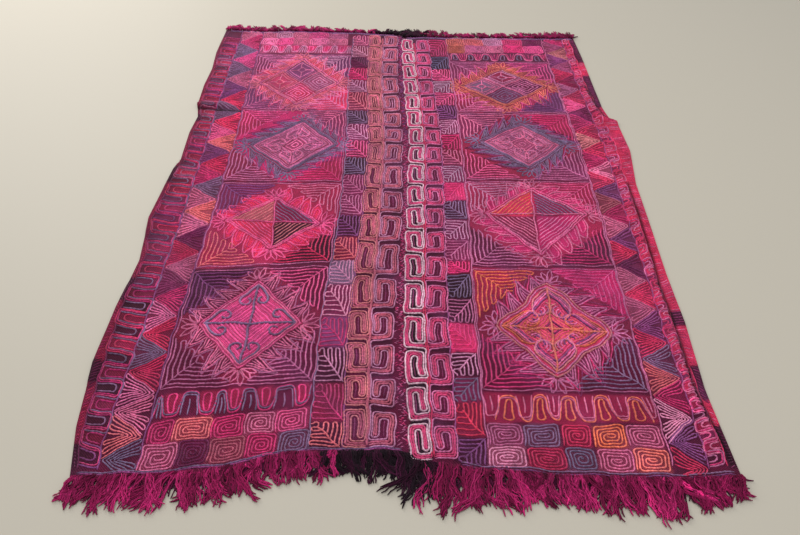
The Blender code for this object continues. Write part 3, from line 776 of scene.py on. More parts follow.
def curl_line(start, heading, straight, radius, side):
    """A straight run that ends in a curl, to the left for side 1 and to the right for side -1."""
    heading = np.asarray(heading) / np.hypot(*heading)
    normal = side * np.array([-heading[1], heading[0]])
    hub = np.asarray(start) + heading * straight + normal * radius
    turns = np.linspace(0.0, CURL_TURN, 16)
    reach = radius * (1.0 - CURL_TIGHTENING * turns / CURL_TURN)
    arc = hub + reach[:, None] * (heading * np.sin(turns)[:, None] - normal * np.cos(turns)[:, None])
    return [tuple(start), *map(tuple, arc)]


def lobed(tips, depth):
    """A diamond's outline with each side drawn in at its middle and swelling towards its tips."""
    ring = []
    for start, end in zip(tips, np.roll(tips, -1, axis=0)):
        run = end - start
        outwards = np.array([-run[1], run[0]]) / np.hypot(*run)
        ring += [start + run * share + outwards * depth * push for share, push in LOBE_CURVE]
    return np.array(ring)


def rim_of(tips, fill):
    """The outline of a medallion's heart."""
    return lobed(tips, LOBE_DEPTH) if fill == "lobes" else tips


def part_way(start, end, share):
    """The place that is a share of the way from one place to another."""
    return start + (end - start) * share


def shrunk(corners, share):
    """An outline drawn in towards its middle, closed."""
    corners = np.asarray(corners, float)
    middle = corners.mean(0)
    ring = middle + (corners - middle) * share
    return [*map(tuple, ring), tuple(ring[0])]


def sew_leaves(needle, column, mirrored):
    """The column of leaf cells: nested corners that meet on a slanting rib."""
    low = LEAVES_START[column]
    for number, (high, yarn, ground) in enumerate(LEAVES[column]):
        patch = Patch(column, low, high)
        needle.dye(patch.outline(), ground, blend=0.12)
        count = max(4, int(round(patch.width / needle.sizes.pitch)))
        w, h = patch.width - 2.0 * LEAF_MARGIN, patch.height - 2.0 * LEAF_MARGIN
        turn_y = mirrored and number % 3 != 1
        rib = [(0.002, 0.002), (0.8 * w, 0.8 * h)]
        for line in (snake(corner_lines(w, h, count)), rib):
            places = np.asarray(line) + LEAF_MARGIN
            needle.sew(patch.lay(places, turn_x=True, turn_y=turn_y), yarn, width=1.08)
        low = high


def between_ends(line, low, high):
    """The part of a line that lies between two places along the rug."""
    fine = evenly(line, FINE_STEP)
    return fine[(fine[:, 1] > low) & (fine[:, 1] < high)]


def sew_triangles(needle, column):
    """The zigzag border: nested chevrons that point right and left by turns."""
    (low, high), tips = TRIANGLE_ENDS[column], TRIANGLE_TIPS[column]
    patch = Patch(column, low, high)
    for number, yarn in enumerate(TRIANGLES[column]):
        points_left = number % 2 == 0
        near, tip, far = (read(tips, place) - low for place in (number - 1, number, number + 1))
        if number == 0:
            near = 2.0 * tip - far
        corners = [(0.0, near), (patch.width, tip), (0.0, far)]
        field = patch.lay(np.clip(corners, 0.0, [patch.width, patch.height]), turn_x=points_left)
        if number < DARK_TRIANGLES:
            needle.dye(field, "dark", blend=0.5)
        else:
            needle.dye(field, yarn, blend=0.92 if number < DEEP_TRIANGLES else 0.70)
        coarse = 1.0 if number < COARSE_FROM else COARSE_YARN
        pitch = coarse * needle.sizes.pitch * needle.chance.uniform(0.90, 1.12)
        lines = chevron_lines(patch.width, near, far, pitch)
        lines = [between_ends(line, 0.0, patch.height) for line in lines]
        lines = [line for line in lines if len(line) > 3]
        if lines:
            needle.sew(patch.lay(snake(lines), turn_x=points_left), yarn, width=coarse)


def sew_finger_border(needle, border):
    """The narrow border: fingers that close to the right and to the left by turns."""
    patch = Patch(border.column, *FINGER_BORDER_ENDS)
    step, right = border.step, patch.width - 0.003

    def lay(points):
        return patch.lay([(x, y + border.lean * (x / patch.width - 0.5)) for x, y in points])

    def loop(start, stop, middle, half):
        below, above = middle - half, middle + half
        return lay([(start, below), (stop, below), (stop, above), (start, above)])

    path = []
    for number in range(int(patch.height / step)):
        near, others = number * step, border.other_pairs
        path += [(0.002, near), (right, near), (right, near + step / 2.0), (0.002, near + step / 2.0)]
        is_first = number < len(border.first_pairs)
        pair = border.first_pairs[number] if is_first else others[number % len(others)]
        for side, (yarn, ground) in enumerate(pairs_of(pair)):
            middle = near + step * (0.25 + 0.5 * side)
            needle.dye(loop(0.0, patch.width, middle, step / 4.0), ground, blend=0.30)
            for share in FINGER_LOOPS:
                half = share * step / 2.0
                reach = patch.width - (0.25 * step - half) - 0.004
                start, stop = (0.003, reach) if side == 0 else (right, patch.width - reach)
                needle.sew(loop(start, stop, middle, half), yarn, width=1.08, softness=0.0105)
    needle.sew(lay(path), "magenta", softness=0.0115)


def sew_hem(needle, hem):
    """Slanting stitches over the plain hem outside the border, near-black in some runs of it."""
    steps = np.arange(*HEM_ENDS, HEM_STEP)
    for y, after in zip(steps, steps[1:]):
        is_dark = any(low < y < high for low, high in hem.dark_runs)
        inner, outer = line_x(hem.column, [y, after]), read(hem.edge, [y, after])
        outline = [(inner[0], y), (outer[0], y), (outer[1], after), (inner[1], after)]
        needle.dye(outline, "dark" if is_dark else hem.ground, blend=0.2)
        slant = 0.011 * math.sin(9.0 * y)
        line = [(inner[0] + hem.side * 0.006, y), (outer[0] - hem.side * 0.005, y + slant)]
        needle.sew(line, "plum" if is_dark else needle.chance.choice(hem.yarns), width=0.8)


def sew_squares(needle, row):
    """A row of squared spirals."""
    for start, end, yarn in row.squares:
        patch = Patch(row.column, row.low, row.high, start, end)
        needle.dye(patch.outline(-0.002), yarn, blend=0.80 if row.low[0] < 0.0 else 0.50)
        path = spiral_line(patch.width, patch.height, SPIRAL_PITCH * needle.sizes.pitch)
        needle.sew(patch.lay(path), yarn, width=1.04, softness=0.0088)


def sew_tongues(needle, band):
    """A band of tongues with arches between them, and the line that runs in and out of them."""
    patch = Patch(band.column, band.low, band.high)
    needle.dye(patch.outline(), band.ground, blend=0.3)
    left, foot, top = line_x(patch.left, patch.low.mean()), 0.006, patch.height - 0.006
    middles = [middle - left for middle in band.middles]
    edges = [0.004, *[(a + b) / 2.0 for a, b in zip(middles, middles[1:])], patch.width - 0.004]

    def lay(points, middle=0.0):
        return patch.lay([(middle + x, y) for x, y in points], turn_y=not band.hangs)

    path = [(0.004, 0.012)] if band.hangs else []
    for middle, before, after in zip(middles, edges, edges[1:]):
        half = 0.25 * (after - before)
        for reach, y in ((-1.35, top), (-0.75, foot), (0.75, foot), (1.35, top)):
            path.append((middle + reach * half, y))
        side, tip = 0.40 * half + 0.0030, (0.0, top - 0.004)
        tongue = [tip, (-side, top - 0.006), (-0.0062, 0.018), (0.0062, 0.018),
                  (side, top - 0.006), tip]
        needle.sew(lay(tongue, middle), band.tongue, width=1.2, softness=0.0075)
        hollow = [(-0.7 * half, 0.010), (0.7 * half, 0.010), (1.3 * half, top), (-1.3 * half, top)]
        needle.dye(lay(hollow, middle), band.hollow, blend=0.3)
    for number, edge in enumerate(edges):
        near = middles[number - 1] + TONGUE_ROOM if number else edge + 0.002
        far = middles[number] - TONGUE_ROOM if number < len(middles) else edge - 0.002
        if far - near > 0.006:
            arch = [(near - 0.004, foot), (near + 0.003, top - 0.012), (far - 0.003, top - 0.012)]
            needle.sew(lay([*arch, (far + 0.004, foot)]), band.arch, softness=0.006)
            needle.sew(lay([(0.0, 0.008), (0.0, top - 0.026)], (near + far) / 2.0), band.arch)
    for offset, yarn in ((0.0, band.line), (0.0075, band.arch)):
        shifted = [(x, y + offset * (1.0 if y < 0.05 else -0.4)) for x, y in path]
        needle.sew(lay(shifted), yarn, softness=0.014)


def sew_petals(needle, tip, out, yarn):
    """A fan of rounded petals round a medallion's tip."""
    side = np.array([-out[1], out[0]])
    for turn in np.radians(PETAL_TURNS):
        heading = out * math.cos(turn) + side * math.sin(turn)
        swell = np.array([-heading[1], heading[0]]) * 0.0085
        root, length = tip + heading * 0.007, needle.chance.uniform(*PETAL_LENGTHS)
        belly = root + heading * 0.55 * length
        petal = [root, belly + swell, root + heading * length, belly - swell, root]
        needle.sew(petal, yarn, softness=0.0045)


def sew_round_leaf(needle, foot, half, point, medallion):
    """A leaf with full sides and a smaller one in it."""
    belly = part_way(foot, point, 0.58)
    outline = [foot - half, belly - half, point, belly + half, foot + half]
    needle.dye(outline, medallion.shadow)
    for share, yarn in ((0.92, medallion.rays), (0.46, medallion.echo)):
        side, tip = half * share, part_way(foot, point, 0.2 + share)
        leaf = [foot - side, belly - side, tip, belly + side, foot + side]
        needle.sew(leaf, yarn, width=1.1, softness=0.0066)


def sew_pointed_leaf(needle, foot, half, point, medallion):
    """A three-cornered leaf, a smaller one in it and its rib."""
    needle.dye([foot - half, point, foot + half], medallion.shadow)
    for width, reach in ((1.0, 1.0), (0.52, 0.66)):
        leaf = [foot - half * width, part_way(foot, point, reach), foot + half * width]
        needle.sew(leaf, medallion.rays, width=1.1, softness=0.005)
    needle.sew([foot, part_way(foot, point, 0.36)], medallion.rays, width=0.9)


def sew_rays(needle, tips, medallion):
    """Leaves along the medallion's sides, and a fan of petals at each of its tips.

    Pointed leaves have two zigzag lines round them.
    """
    middle = np.mean(tips, axis=0)
    is_round = medallion.fill == "quarters"
    for start, end in zip(tips, np.roll(tips, -1, axis=0)):
        run = end - start
        unit = run / np.hypot(*run)
        normal = np.array([-unit[1], unit[0]])
        half = unit * RAY_WIDTH * (RAY_SPAN * np.hypot(*run) / RAYS)
        outer = half + unit * 0.004
        echo, far_echo = [], []
        for number in range(RAYS):
            share = RAY_START + RAY_SPAN * (number + needle.chance.uniform(0.42, 0.58)) / RAYS
            foot = start + run * share + normal * 0.004
            away = normal + unit * (medallion.spin + needle.chance.normal(0.0, 0.10))
            away /= np.hypot(*away)
            point = foot + away * needle.chance.uniform(*RAY_LENGTHS)
            sew_leaf = sew_round_leaf if is_round else sew_pointed_leaf
            sew_leaf(needle, foot, half, point, medallion)
            for line, root, reach in ((echo, 0.012, 0.014), (far_echo, 0.027, 0.030)):
                line += [foot - outer + normal * root, point + away * reach, foot + outer + normal * root]
        if not is_round:
            needle.sew(echo, medallion.echo, width=1.0, lift=-0.0003, softness=0.005)
            needle.sew(far_echo, medallion.shadow, width=0.9, lift=-0.0006, softness=0.005)
    for tip in tips:
        sew_petals(needle, tip, (tip - middle) / np.hypot(*(tip - middle)), medallion.rays)


def sew_curls(needle, tips, order, yarns, reach, radius, width):
    """Two curls from some of the tips, which run along the sides and roll inwards, a line of each yarn."""
    middle = np.mean(tips, axis=0)
    for number in order:
        tip = tips[number]
        for other, side in ((tips[(number + 1) % 4], -1), (tips[(number - 1) % 4], 1)):
            length = np.hypot(*(other - tip))
            heading = (other - tip) * (1.0 - CURL_LEAN) + (middle - tip) * CURL_LEAN
            for line, yarn in enumerate(yarns):
                start = part_way(tip, middle, 0.10 + 0.060 * line)
                curl = curl_line(start, heading, reach * length, radius * length - 0.0064 * line, side)
                needle.sew(curl, yarn, width=width, lift=0.0012, softness=0.0045)


def sew_rings(needle, ring, shares, yarn, width, lift=0.0):
    """Lines of one yarn inside an outline, each drawn in to a share of it."""
    for share in shares:
        needle.sew(shrunk(ring, share), yarn, width=width, lift=lift)


def ring_shares(tips, first, last, spacing):
    """The shares at which rings inside a diamond lie a spacing apart."""
    return np.arange(first, last, -spacing / (0.72 * np.hypot(*(tips[1] - tips[0])) / 2.0))


def sew_cross(needle, tips, medallion):
    """A heart filled with rings, and a cross on it with a pair of curls at each tip."""
    middle = np.mean(tips, axis=0)
    has_lobes = medallion.fill == "lobes"
    ring = rim_of(tips, medallion.fill)
    for start, end in zip(ring, np.roll(ring, -1, axis=0)):
        needle.dye([start, end, middle], medallion.heart, blend=0.24)
    widest = 1.0 - 0.026 / (np.hypot(*(tips[1] - tips[0])) / 2.0)
    shares = ring_shares(tips, first=widest, last=0.04, spacing=0.0074)
    sew_rings(needle, ring, shares, medallion.heart, width=1.15, lift=-0.0003)
    ink = "apricot" if has_lobes else "slate"
    for first, second in (tips[[0, 2]], tips[[1, 3]]):
        bar = [part_way(first, middle, 0.08), part_way(second, middle, 0.08)]
        needle.sew(bar, ink, width=1.7, lift=0.0012)
    if not has_lobes:
        sew_curls(needle, tips, range(4), [ink], reach=0.27, radius=0.092, width=1.6)
        return
    for tip, before, after in (tips[[0, 3, 1]], tips[[2, 1, 3]]):
        lozenge = [tip, part_way(middle, after, 0.4), middle, part_way(middle, before, 0.4)]
        needle.dye(lozenge, "coral", blend=0.1)
    for order, outer_pair in (((0, 2), ["orange", "coral"]), ((1, 3), ["rust", "mauve"])):
        yarns = outer_pair + ["blush", "violet"]
        sew_curls(needle, tips, order, yarns, reach=0.32, radius=0.155, width=1.25)
    needle.sew(shrunk(tips, 0.14), "plum", width=1.2, lift=0.0014)


def sew_scroll(needle, tips, medallion):
    """A heart with three-fold curls from its tips, small diamonds in its middle and barred tips."""
    middle = np.mean(tips, axis=0)
    needle.dye(tips, "orchid", blend=0.36)
    shares = ring_shares(tips, first=0.88, last=0.32, spacing=0.0076)
    sew_rings(needle, tips, shares, "heather", width=1.0, lift=-0.0004)
    needle.sew(shrunk(tips, 0.86), medallion.heart, width=1.15)
    inner = np.array(shrunk(tips, 0.82)[:4])
    yarns = ["rose", "heather", medallion.heart]
    sew_curls(needle, inner, range(4), yarns, reach=0.28, radius=0.150, width=1.15)
    sew_rings(needle, tips, (0.30, 0.20, 0.09), medallion.heart, width=1.1)
    for tip in tips:
        aside = np.array([tip[1] - middle[1], middle[0] - tip[0]]) / np.hypot(*(tip - middle)) * 0.0055
        for offset in (aside, -aside):
            bar = [part_way(tip, middle, 0.30) + offset, part_way(tip, middle, 0.66) + offset]
            needle.sew(bar, medallion.heart, width=1.0, lift=0.0004)


def sew_quarters(needle, tips, medallion):
    """A heart in four quarters, each with its own stripes."""
    middle = np.mean(tips, axis=0)
    sides = ((0, 1), (1, 2), (3, 0), (2, 3))
    for (first, second), (yarn, ground, heading) in zip(sides, QUARTERS[medallion.column]):
        sew_stripes(needle, [tips[first], tips[second], middle], yarn, ground, heading)
    for line in (tips[[0, 2]], tips[[1, 3]]):
        needle.sew(line, medallion.rays, width=1.2, lift=0.0008)


def sew_lattice(needle, tips, medallion):
    """A heart in four diamonds, filled by turns with rings and with a star."""
    middle = np.mean(tips, axis=0)
    for number, (place, (yarn, ground)) in enumerate(zip((1, 2, 0, 3), LATTICES[medallion.column])):
        tip, before, after = tips[place], tips[(place - 1) % 4], tips[(place + 1) % 4]
        diamond = np.array([tip, (tip + after) / 2.0, middle, (tip + before) / 2.0])
        needle.dye(diamond, ground, blend=0.3)
        if number % 2:
            sew_rings(needle, diamond, np.arange(0.82, 0.08, -0.21), yarn, width=1.05)
            continue
        sew_rings(needle, diamond, (0.84, 0.66, 0.24), yarn, width=1.05)
        hub = diamond.mean(0)
        for corner in diamond:
            needle.sew([part_way(corner, hub, 0.30), part_way(corner, hub, 0.88)], medallion.heart, width=1.0)
    halfway = (tips + np.roll(tips, -1, axis=0)) / 2.0
    for line in (halfway[[0, 2]], halfway[[1, 3]]):
        needle.sew(line, medallion.heart, width=1.3, lift=0.0008)


def sew_stripes(needle, corners, yarn, ground, heading):
    """Straight stripes across a three-cornered field."""
    corners = np.asarray(corners, float)
    needle.dye(corners, ground, blend=0.1)
    turn = math.radians(heading)
    run, rise = np.array([math.cos(turn), math.sin(turn)]), np.array([-math.sin(turn), math.cos(turn)])
    inner = part_way(corners.mean(0), corners, 0.90)
    levels = inner @ rise
    for level in np.arange(levels.min() + 0.004, levels.max() - 0.002, needle.sizes.pitch):
        crossings = []
        for start, end in zip(inner, np.roll(inner, -1, axis=0)):
            low, high = start @ rise, end @ rise
            if (low - level) * (high - level) < 0.0:
                crossings.append(part_way(start, end, (level - low) / (high - low)))
        if len(crossings) == 2 and abs((crossings[1] - crossings[0]) @ run) > 0.008:
            needle.sew(crossings, yarn)


HEARTS = {"cross": sew_cross, "lobes": sew_cross, "scroll": sew_scroll, "quarters": sew_quarters,
          "lattice": sew_lattice}


def sew_gussets(needle, patch, corners):
    """The four corners of a medallion's cell, each filled with lines round a slanting rib."""
    turns = [(False, True), (True, True), (False, False), (True, False)]
    w, h = GUSSET_WIDTH * patch.width, GUSSET_HEIGHT * patch.height
    for (yarn, ground), (turn_x, turn_y) in zip(pairs_of(corners), turns):
        needle.dye(patch.lay([(0.0, 0.0), (w, 0.0), (0.0, h)], turn_x, turn_y), ground)
        lines = gusset_lines(w, h, pitch=GUSSET_PITCH * needle.sizes.pitch, count=GUSSET_LINES)
        for line in lines:
            slips = needle.chance.uniform(*GUSSET_SLIPS, 2)
            line[0] = (line[0][0], max(line[0][1] + slips[0], line[1][1] + 0.005))
            line[2] = (max(line[2][0] + slips[1], line[1][0] + 0.005), line[2][1])
        path = np.array(snake(lines)) + 0.007
        needle.sew(patch.lay(path, turn_x, turn_y), yarn, width=1.14)
        needle.sew(patch.lay([(0.006, 0.006), (0.44 * w, 0.44 * h)], turn_x, turn_y), yarn)


def sew_medallion(needle, medallion):
    """One cell of the field: frame, corner gussets, a rayed diamond and what fills it."""
    patch = Patch(medallion.column, medallion.low, medallion.high)
    needle.dye(patch.outline(), medallion.ground)
    frame_line = patch.outline(0.004)
    needle.sew([*frame_line, frame_line[0]], "mauve", width=0.9)
    sew_gussets(needle, patch, medallion.corners)
    tips = np.array([medallion.left, medallion.top, medallion.right, medallion.bottom])
    sew_rays(needle, tips, medallion)
    HEARTS[medallion.fill](needle, tips, medallion)
    ring = rim_of(tips, medallion.fill)
    for share, yarn in ((1.0, medallion.rim), (1.0 - RIM_STEP, medallion.rays)):
        needle.sew(shrunk(ring, share), yarn, width=1.25, lift=0.0004)


def sew_hooks(needle, column, blocks, mirrored, outline, fill, ground):
    """A column of hooks: one band that grows out of the stem at every block and curls over."""
    is_white, path = outline == "white", []
    for low, high in zip(blocks, blocks[1:]):
        patch = Patch(column, low, high)
        band = HOOK_BAND * patch.width
        w, h = patch.width - 0.004, patch.height - (0.012 if mirrored else 0.004)
        needle.dye(patch.outline(), "black" if is_white else "dark")
        field = [(0.002, 0.002), (w, 0.002), (w, h), (0.002, h)]
        needle.dye(patch.lay(field, turn_x=mirrored), ground)

        def lay_horn(depth, is_whole):
            horn = np.array(horn_line(w, h - 0.006, depth, band, is_whole)) + (0.0, 0.004)
            return patch.lay(horn, turn_x=mirrored)

        for depth in (band * 0.34, band * 0.66):
            needle.sew(lay_horn(depth, False), fill, width=1.5, lift=-0.0005, softness=0.0080)
        path += list(lay_horn(0.0, True))
        slot = w - HOOK_GAP - 2.0 * band
        if slot > 0.014:
            x, yarn = band + slot / 2.0, "plum" if is_white or low < 0.0 else outline
            rib = patch.lay([(x, band + 0.010), (x, h - band - 0.012)], turn_x=mirrored)
            needle.sew(rib, yarn, width=0.8)
    needle.sew(path, outline, width=1.22 if is_white else 1.05, lift=0.0003, softness=0.0095)


def sew_line(needle, column, yarn, low, high, offset=0.0, width=0.95, lift=0.0):
    """A single line that follows the right-hand side of a column."""
    y = np.linspace(low, high, LONG_LINE_POINTS)
    needle.sew(np.stack([line_x(column, y) + offset, y], -1), yarn, width=width, lift=lift)


def sew_stem(needle, column, blocks, yarn):
    """The band between two columns of hooks, which their outlines grow from."""
    for offset in (-0.0022, 0.0022):
        sew_line(needle, column, yarn, blocks[0] + 0.01, blocks[-1] - 0.04, offset, width=1.1, lift=-0.0004)


def sew_end(needle, cloth_end, start, stop, yarn, inwards):
    """A line along the end of a panel, a little way in from it."""
    x = np.linspace(start, stop, LONG_LINE_POINTS)
    needle.sew(np.stack([x, read(cloth_end, x) + inwards], -1), yarn, width=1.05)


def add_node(tree, kind, place, **values):
    """A node at its place in the tree's layout, with the values of its sockets by name."""
    node = tree.nodes.new(kind)
    node.location = place
    for name, value in values.items():
        node.inputs[name.replace("_", " ")].default_value = value
    return node


def spread(tree, source, place, low, high):
    """A noise's value spread over a range of factors."""
    node = add_node(tree, "ShaderNodeMapRange", place, From_Min=0.3, From_Max=0.7, To_Min=low, To_Max=high)
    tree.links.new(source, node.inputs["Value"])
    return node.outputs["Result"]


Wool = namedtuple("Wool", "material tree place unevenness shaded fibres")


def wool(name, roughness, sheen, patches, grain_scale, grain, bump_height):
    """Dyed wool: the dye attribute made uneven by broad patches and by the fibres' own grain."""
    material = bpy.data.materials.new(name)
    material.use_nodes = True
    tree = material.node_tree
    shader = tree.nodes["Principled BSDF"]
    settings = {"Roughness": roughness, "Metallic": 0.0, "Specular IOR Level": 0.2}
    settings.update({"Sheen Weight": sheen, "Sheen Roughness": 0.5, "Sheen Tint": SHEEN_TINT})
    for socket, value in settings.items():
        shader.inputs[socket].default_value = value
    place = add_node(tree, "ShaderNodeTexCoord", (-1300, 0)).outputs["Object"]
    dye = add_node(tree, "ShaderNodeAttribute", (-700, 420))
    dye.attribute_name = "dye"
    broad = add_node(tree, "ShaderNodeTexNoise", (-1000, 260), Scale=7.0, Detail=3.0, Roughness=0.6)
    fine = add_node(tree, "ShaderNodeTexNoise", (-1000, -40), Scale=grain_scale, Detail=3.0, Roughness=0.65)
    unevenness = add_node(tree, "ShaderNodeMath", (-480, 120))
    unevenness.operation = "MULTIPLY"
    for number, (noise, swing, node_place) in enumerate((
            (broad, patches, (-720, 220)), (fine, grain, (-720, -60)))):
        tree.links.new(place, noise.inputs["Vector"])
        factor = spread(tree, noise.outputs["Fac"], node_place, 1.0 - swing, 1.0 + swing)
        tree.links.new(factor, unevenness.inputs[number])
    shaded = add_node(tree, "ShaderNodeVectorMath", (-260, 260))
    shaded.operation = "SCALE"
    tree.links.new(dye.outputs["Color"], shaded.inputs[0])
    tree.links.new(unevenness.outputs["Value"], shaded.inputs["Scale"])
    tree.links.new(shaded.outputs["Vector"], shader.inputs["Base Color"])
    fibres = add_node(tree, "ShaderNodeBump", (-260, -200), Strength=1.0, Distance=bump_height)
    tree.links.new(fine.outputs["Fac"], fibres.inputs["Height"])
    tree.links.new(fibres.outputs["Normal"], shader.inputs["Normal"])
    return Wool(material, tree, place, unevenness, shaded, fibres)


def add_relief(plain, along, wave, strength, height):
    """Raise a wool in the bands of a wave, under the fibres' own relief."""
    relief = add_node(plain.tree, "ShaderNodeBump", (-500, -300), Strength=strength, Distance=height)
    wave.bands_direction = "DIAGONAL"
    plain.tree.links.new(along, wave.inputs["Vector"])
    plain.tree.links.new(wave.outputs["Fac"], relief.inputs["Height"])
    plain.tree.links.new(relief.outputs["Normal"], plain.fibres.inputs["Normal"])


def cloth_wool():
    """The plain-woven ground, packed with short rows of dark stitches between the drawn lines."""
    plain = wool("ground_wool", roughness=0.92, sheen=0.18, patches=0.14,
                 grain_scale=240.0, grain=0.46, bump_height=0.0014)
    tree = plain.tree
    rows = add_node(tree, "ShaderNodeTexWave", (-1000, -360), Scale=95.0, Distortion=2.4, Detail=2.0)
    add_relief(plain, plain.place, rows, strength=0.8, height=0.0008)
    stripes = add_node(tree, "ShaderNodeMapRange", (-700, -520), To_Min=0.62, To_Max=1.32)
    striped = add_node(tree, "ShaderNodeMath", (-330, 60))
    striped.operation = "MULTIPLY"
    tree.links.new(rows.outputs["Fac"], stripes.inputs["Value"])
    tree.links.new(plain.unevenness.outputs["Value"], striped.inputs[0])
    tree.links.new(stripes.outputs["Result"], striped.inputs[1])
    tree.links.new(striped.outputs["Value"], plain.shaded.inputs["Scale"])
    return plain.material


def yarn_wool():
    """Two-ply embroidery yarn, with the slant of its twist along each strand."""
    plain = wool("embroidery_yarn", roughness=0.86, sheen=0.30, patches=0.12,
                 grain_scale=340.0, grain=0.46, bump_height=0.0010)
    tree = plain.tree
    along = add_node(tree, "ShaderNodeUVMap", (-1300, -360))
    along.uv_map = "along"
    stretch = add_node(tree, "ShaderNodeMapping", (-1140, -360), Scale=(900.0, 2.2, 1.0))
    tree.links.new(along.outputs["UV"], stretch.inputs["Vector"])
    twist = add_node(tree, "ShaderNodeTexWave", (-960, -360), Scale=0.32, Distortion=0.8, Detail=1.0)
    add_relief(plain, stretch.outputs["Vector"], twist, strength=0.7, height=0.0005)
    return plain.material


def fringe_wool():
    """Duller, softer yarn for the fringe."""
    plain = wool("fringe_yarn", roughness=0.88, sheen=0.06, patches=0.15,
                 grain_scale=420.0, grain=0.40, bump_height=0.0008)
    return plain.material


def material_of(name, make):
    """The material of that name, made when it is first wanted."""
    return bpy.data.materials.get(name) or make()


def finish_piece(piece, material, nodes=()):
    """Give a piece its wool, let it ride with the rug, and hide the frame's parts that it stands in for."""
    piece.data.materials.clear()
    piece.data.materials.append(material)
    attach(piece, BODY)
    if nodes:
        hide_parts(*nodes)


def finish_embroidery(needle, name):
    """Make what was sewn a piece of the embroidery."""
    finish_piece(needle.tie_off(name), material_of("embroidery_yarn", yarn_wool))


def column_shares():
    """Where the grid's columns run, as shares of the way from the seam to the outer edge."""
    fine = FINE_ZONE / FLAT_SIZE[0]
    coarse = np.linspace(0.0, 1.0 - fine, COARSE_COLUMNS + 1)
    return np.concatenate([coarse, np.linspace(1.0 - fine, 1.0, FINE_COLUMNS + 1)[1:]])


def apply_modifier(piece, kind, **settings):
    """Change a piece for good by one of the modifiers."""
    bpy.ops.object.modifier_add(type=kind)
    modifier = piece.modifiers[-1]
    for name, value in settings.items():
        setattr(modifier, name, value)
    bpy.ops.object.modifier_apply(modifier=modifier.name)


def lay_panel(name, side, edge, near_end, far_end, thickness):
    """Weave one panel: a grid shaped to the cloth's outline and folds, then given its thickness."""
    shares = column_shares()
    rows = int(FLAT_SIZE[1] / ROW_STEP)
    bpy.ops.object.select_all(action="DESELECT")
    bpy.ops.mesh.primitive_grid_add(x_subdivisions=len(shares) - 1, y_subdivisions=rows, size=1.0)
    cloth = bpy.context.object
    cloth.name = name
    cloth.data.name = name
    grid = places_of(cloth.data) + 0.5
    steps = np.linspace(0.0, 1.0, len(shares))
    from_seam = np.interp(grid[:, 0] if side > 0 else 1.0 - grid[:, 0], steps, shares)
    y = np.interp(grid[:, 1], (0.0, 1.0), FIRST_GUESS)
    for _ in range(SPOT_PASSES):
        seam = line_x("seam", y) + side * PANEL_GAP / 2.0
        x = seam + from_seam * (read(edge, y) - seam)
        y = read(near_end, x) + grid[:, 1] * (read(far_end, x) - read(near_end, x))
    z = fold_rise(x, y) + ripple(x, y) + FLOOR_GAP
    places = np.stack([x + CLOTH_SHIFT[0], y + CLOTH_SHIFT[1], z], -1)
    cloth.data.vertices.foreach_set("co", places.ravel())
    cloth.data.update()
    apply_modifier(cloth, "SOLIDIFY", thickness=thickness, offset=1.0)
    apply_modifier(cloth, "BEVEL", width=CLOTH_BEVEL * thickness, segments=2, limit_method="ANGLE",
                   angle_limit=math.radians(60.0))
    bpy.ops.object.shade_smooth()
    store_dye(cloth.data, dyed(colour_of("ground") * GROUND_TINT, places_of(cloth.data)[:, :2] - CLOTH_SHIFT))
    return cloth


class RugSizes(bpy.types.PropertyGroup):
    """Sizes of the embroidery and the weave."""

    yarn_width: bpy.props.FloatProperty(
        name="Yarn width", description="Width of a sewn yarn", default=0.0064, min=0.001, unit="LENGTH")
    stitch_step: bpy.props.FloatProperty(
        name="Stitch length", description="Length of half a chain stitch", default=0.0056, min=0.002,
        unit="LENGTH")
    pitch: bpy.props.FloatProperty(
        name="Line spacing", description="From one sewn line to the next", default=0.0118, min=0.004,
        unit="LENGTH")
    cloth_thickness: bpy.props.FloatProperty(
        name="Cloth thickness", description="Thickness of the ground weave", default=0.0030, min=0.001,
        unit="LENGTH")


class RugFringe(bpy.types.PropertyGroup):
    """Sizes of the fringe."""

    near_locks: bpy.props.IntProperty(
        name="Near locks", description="Locks on each panel's near end", default=135, min=10)
    far_locks: bpy.props.IntProperty(
        name="Far locks", description="Locks on each panel's far end", default=85, min=10)
    strands: bpy.props.IntProperty(
        name="Strands", description="Strands in a lock", default=7, min=1)
    strand_width: bpy.props.FloatProperty(
        name="Strand width", description="Width of one fringe strand", default=0.0046, min=0.001,
        unit="LENGTH")
    undergrowth: bpy.props.IntProperty(
        name="Short strands", description="Short strands close to each panel's end", default=360, min=0)


class RugLight(bpy.types.PropertyGroup):
    """The floor and the light."""

    floor_colour: bpy.props.FloatVectorProperty(
        name="Floor", description="Colour of the plain floor", default=(0.63, 0.58, 0.48), subtype="COLOR")
    side_power: bpy.props.FloatProperty(
        name="Side light", description="Strength of the large soft light on the far left", default=95.0,
        min=0.0, unit="POWER")
    overhead_power: bpy.props.FloatProperty(
        name="Overhead light", description="Strength of the soft light overhead", default=30.0, min=0.0,
        unit="POWER")
    sky_strength: bpy.props.FloatProperty(
        name="Sky", description="Strength of the even light from all round", default=0.55, min=0.0)


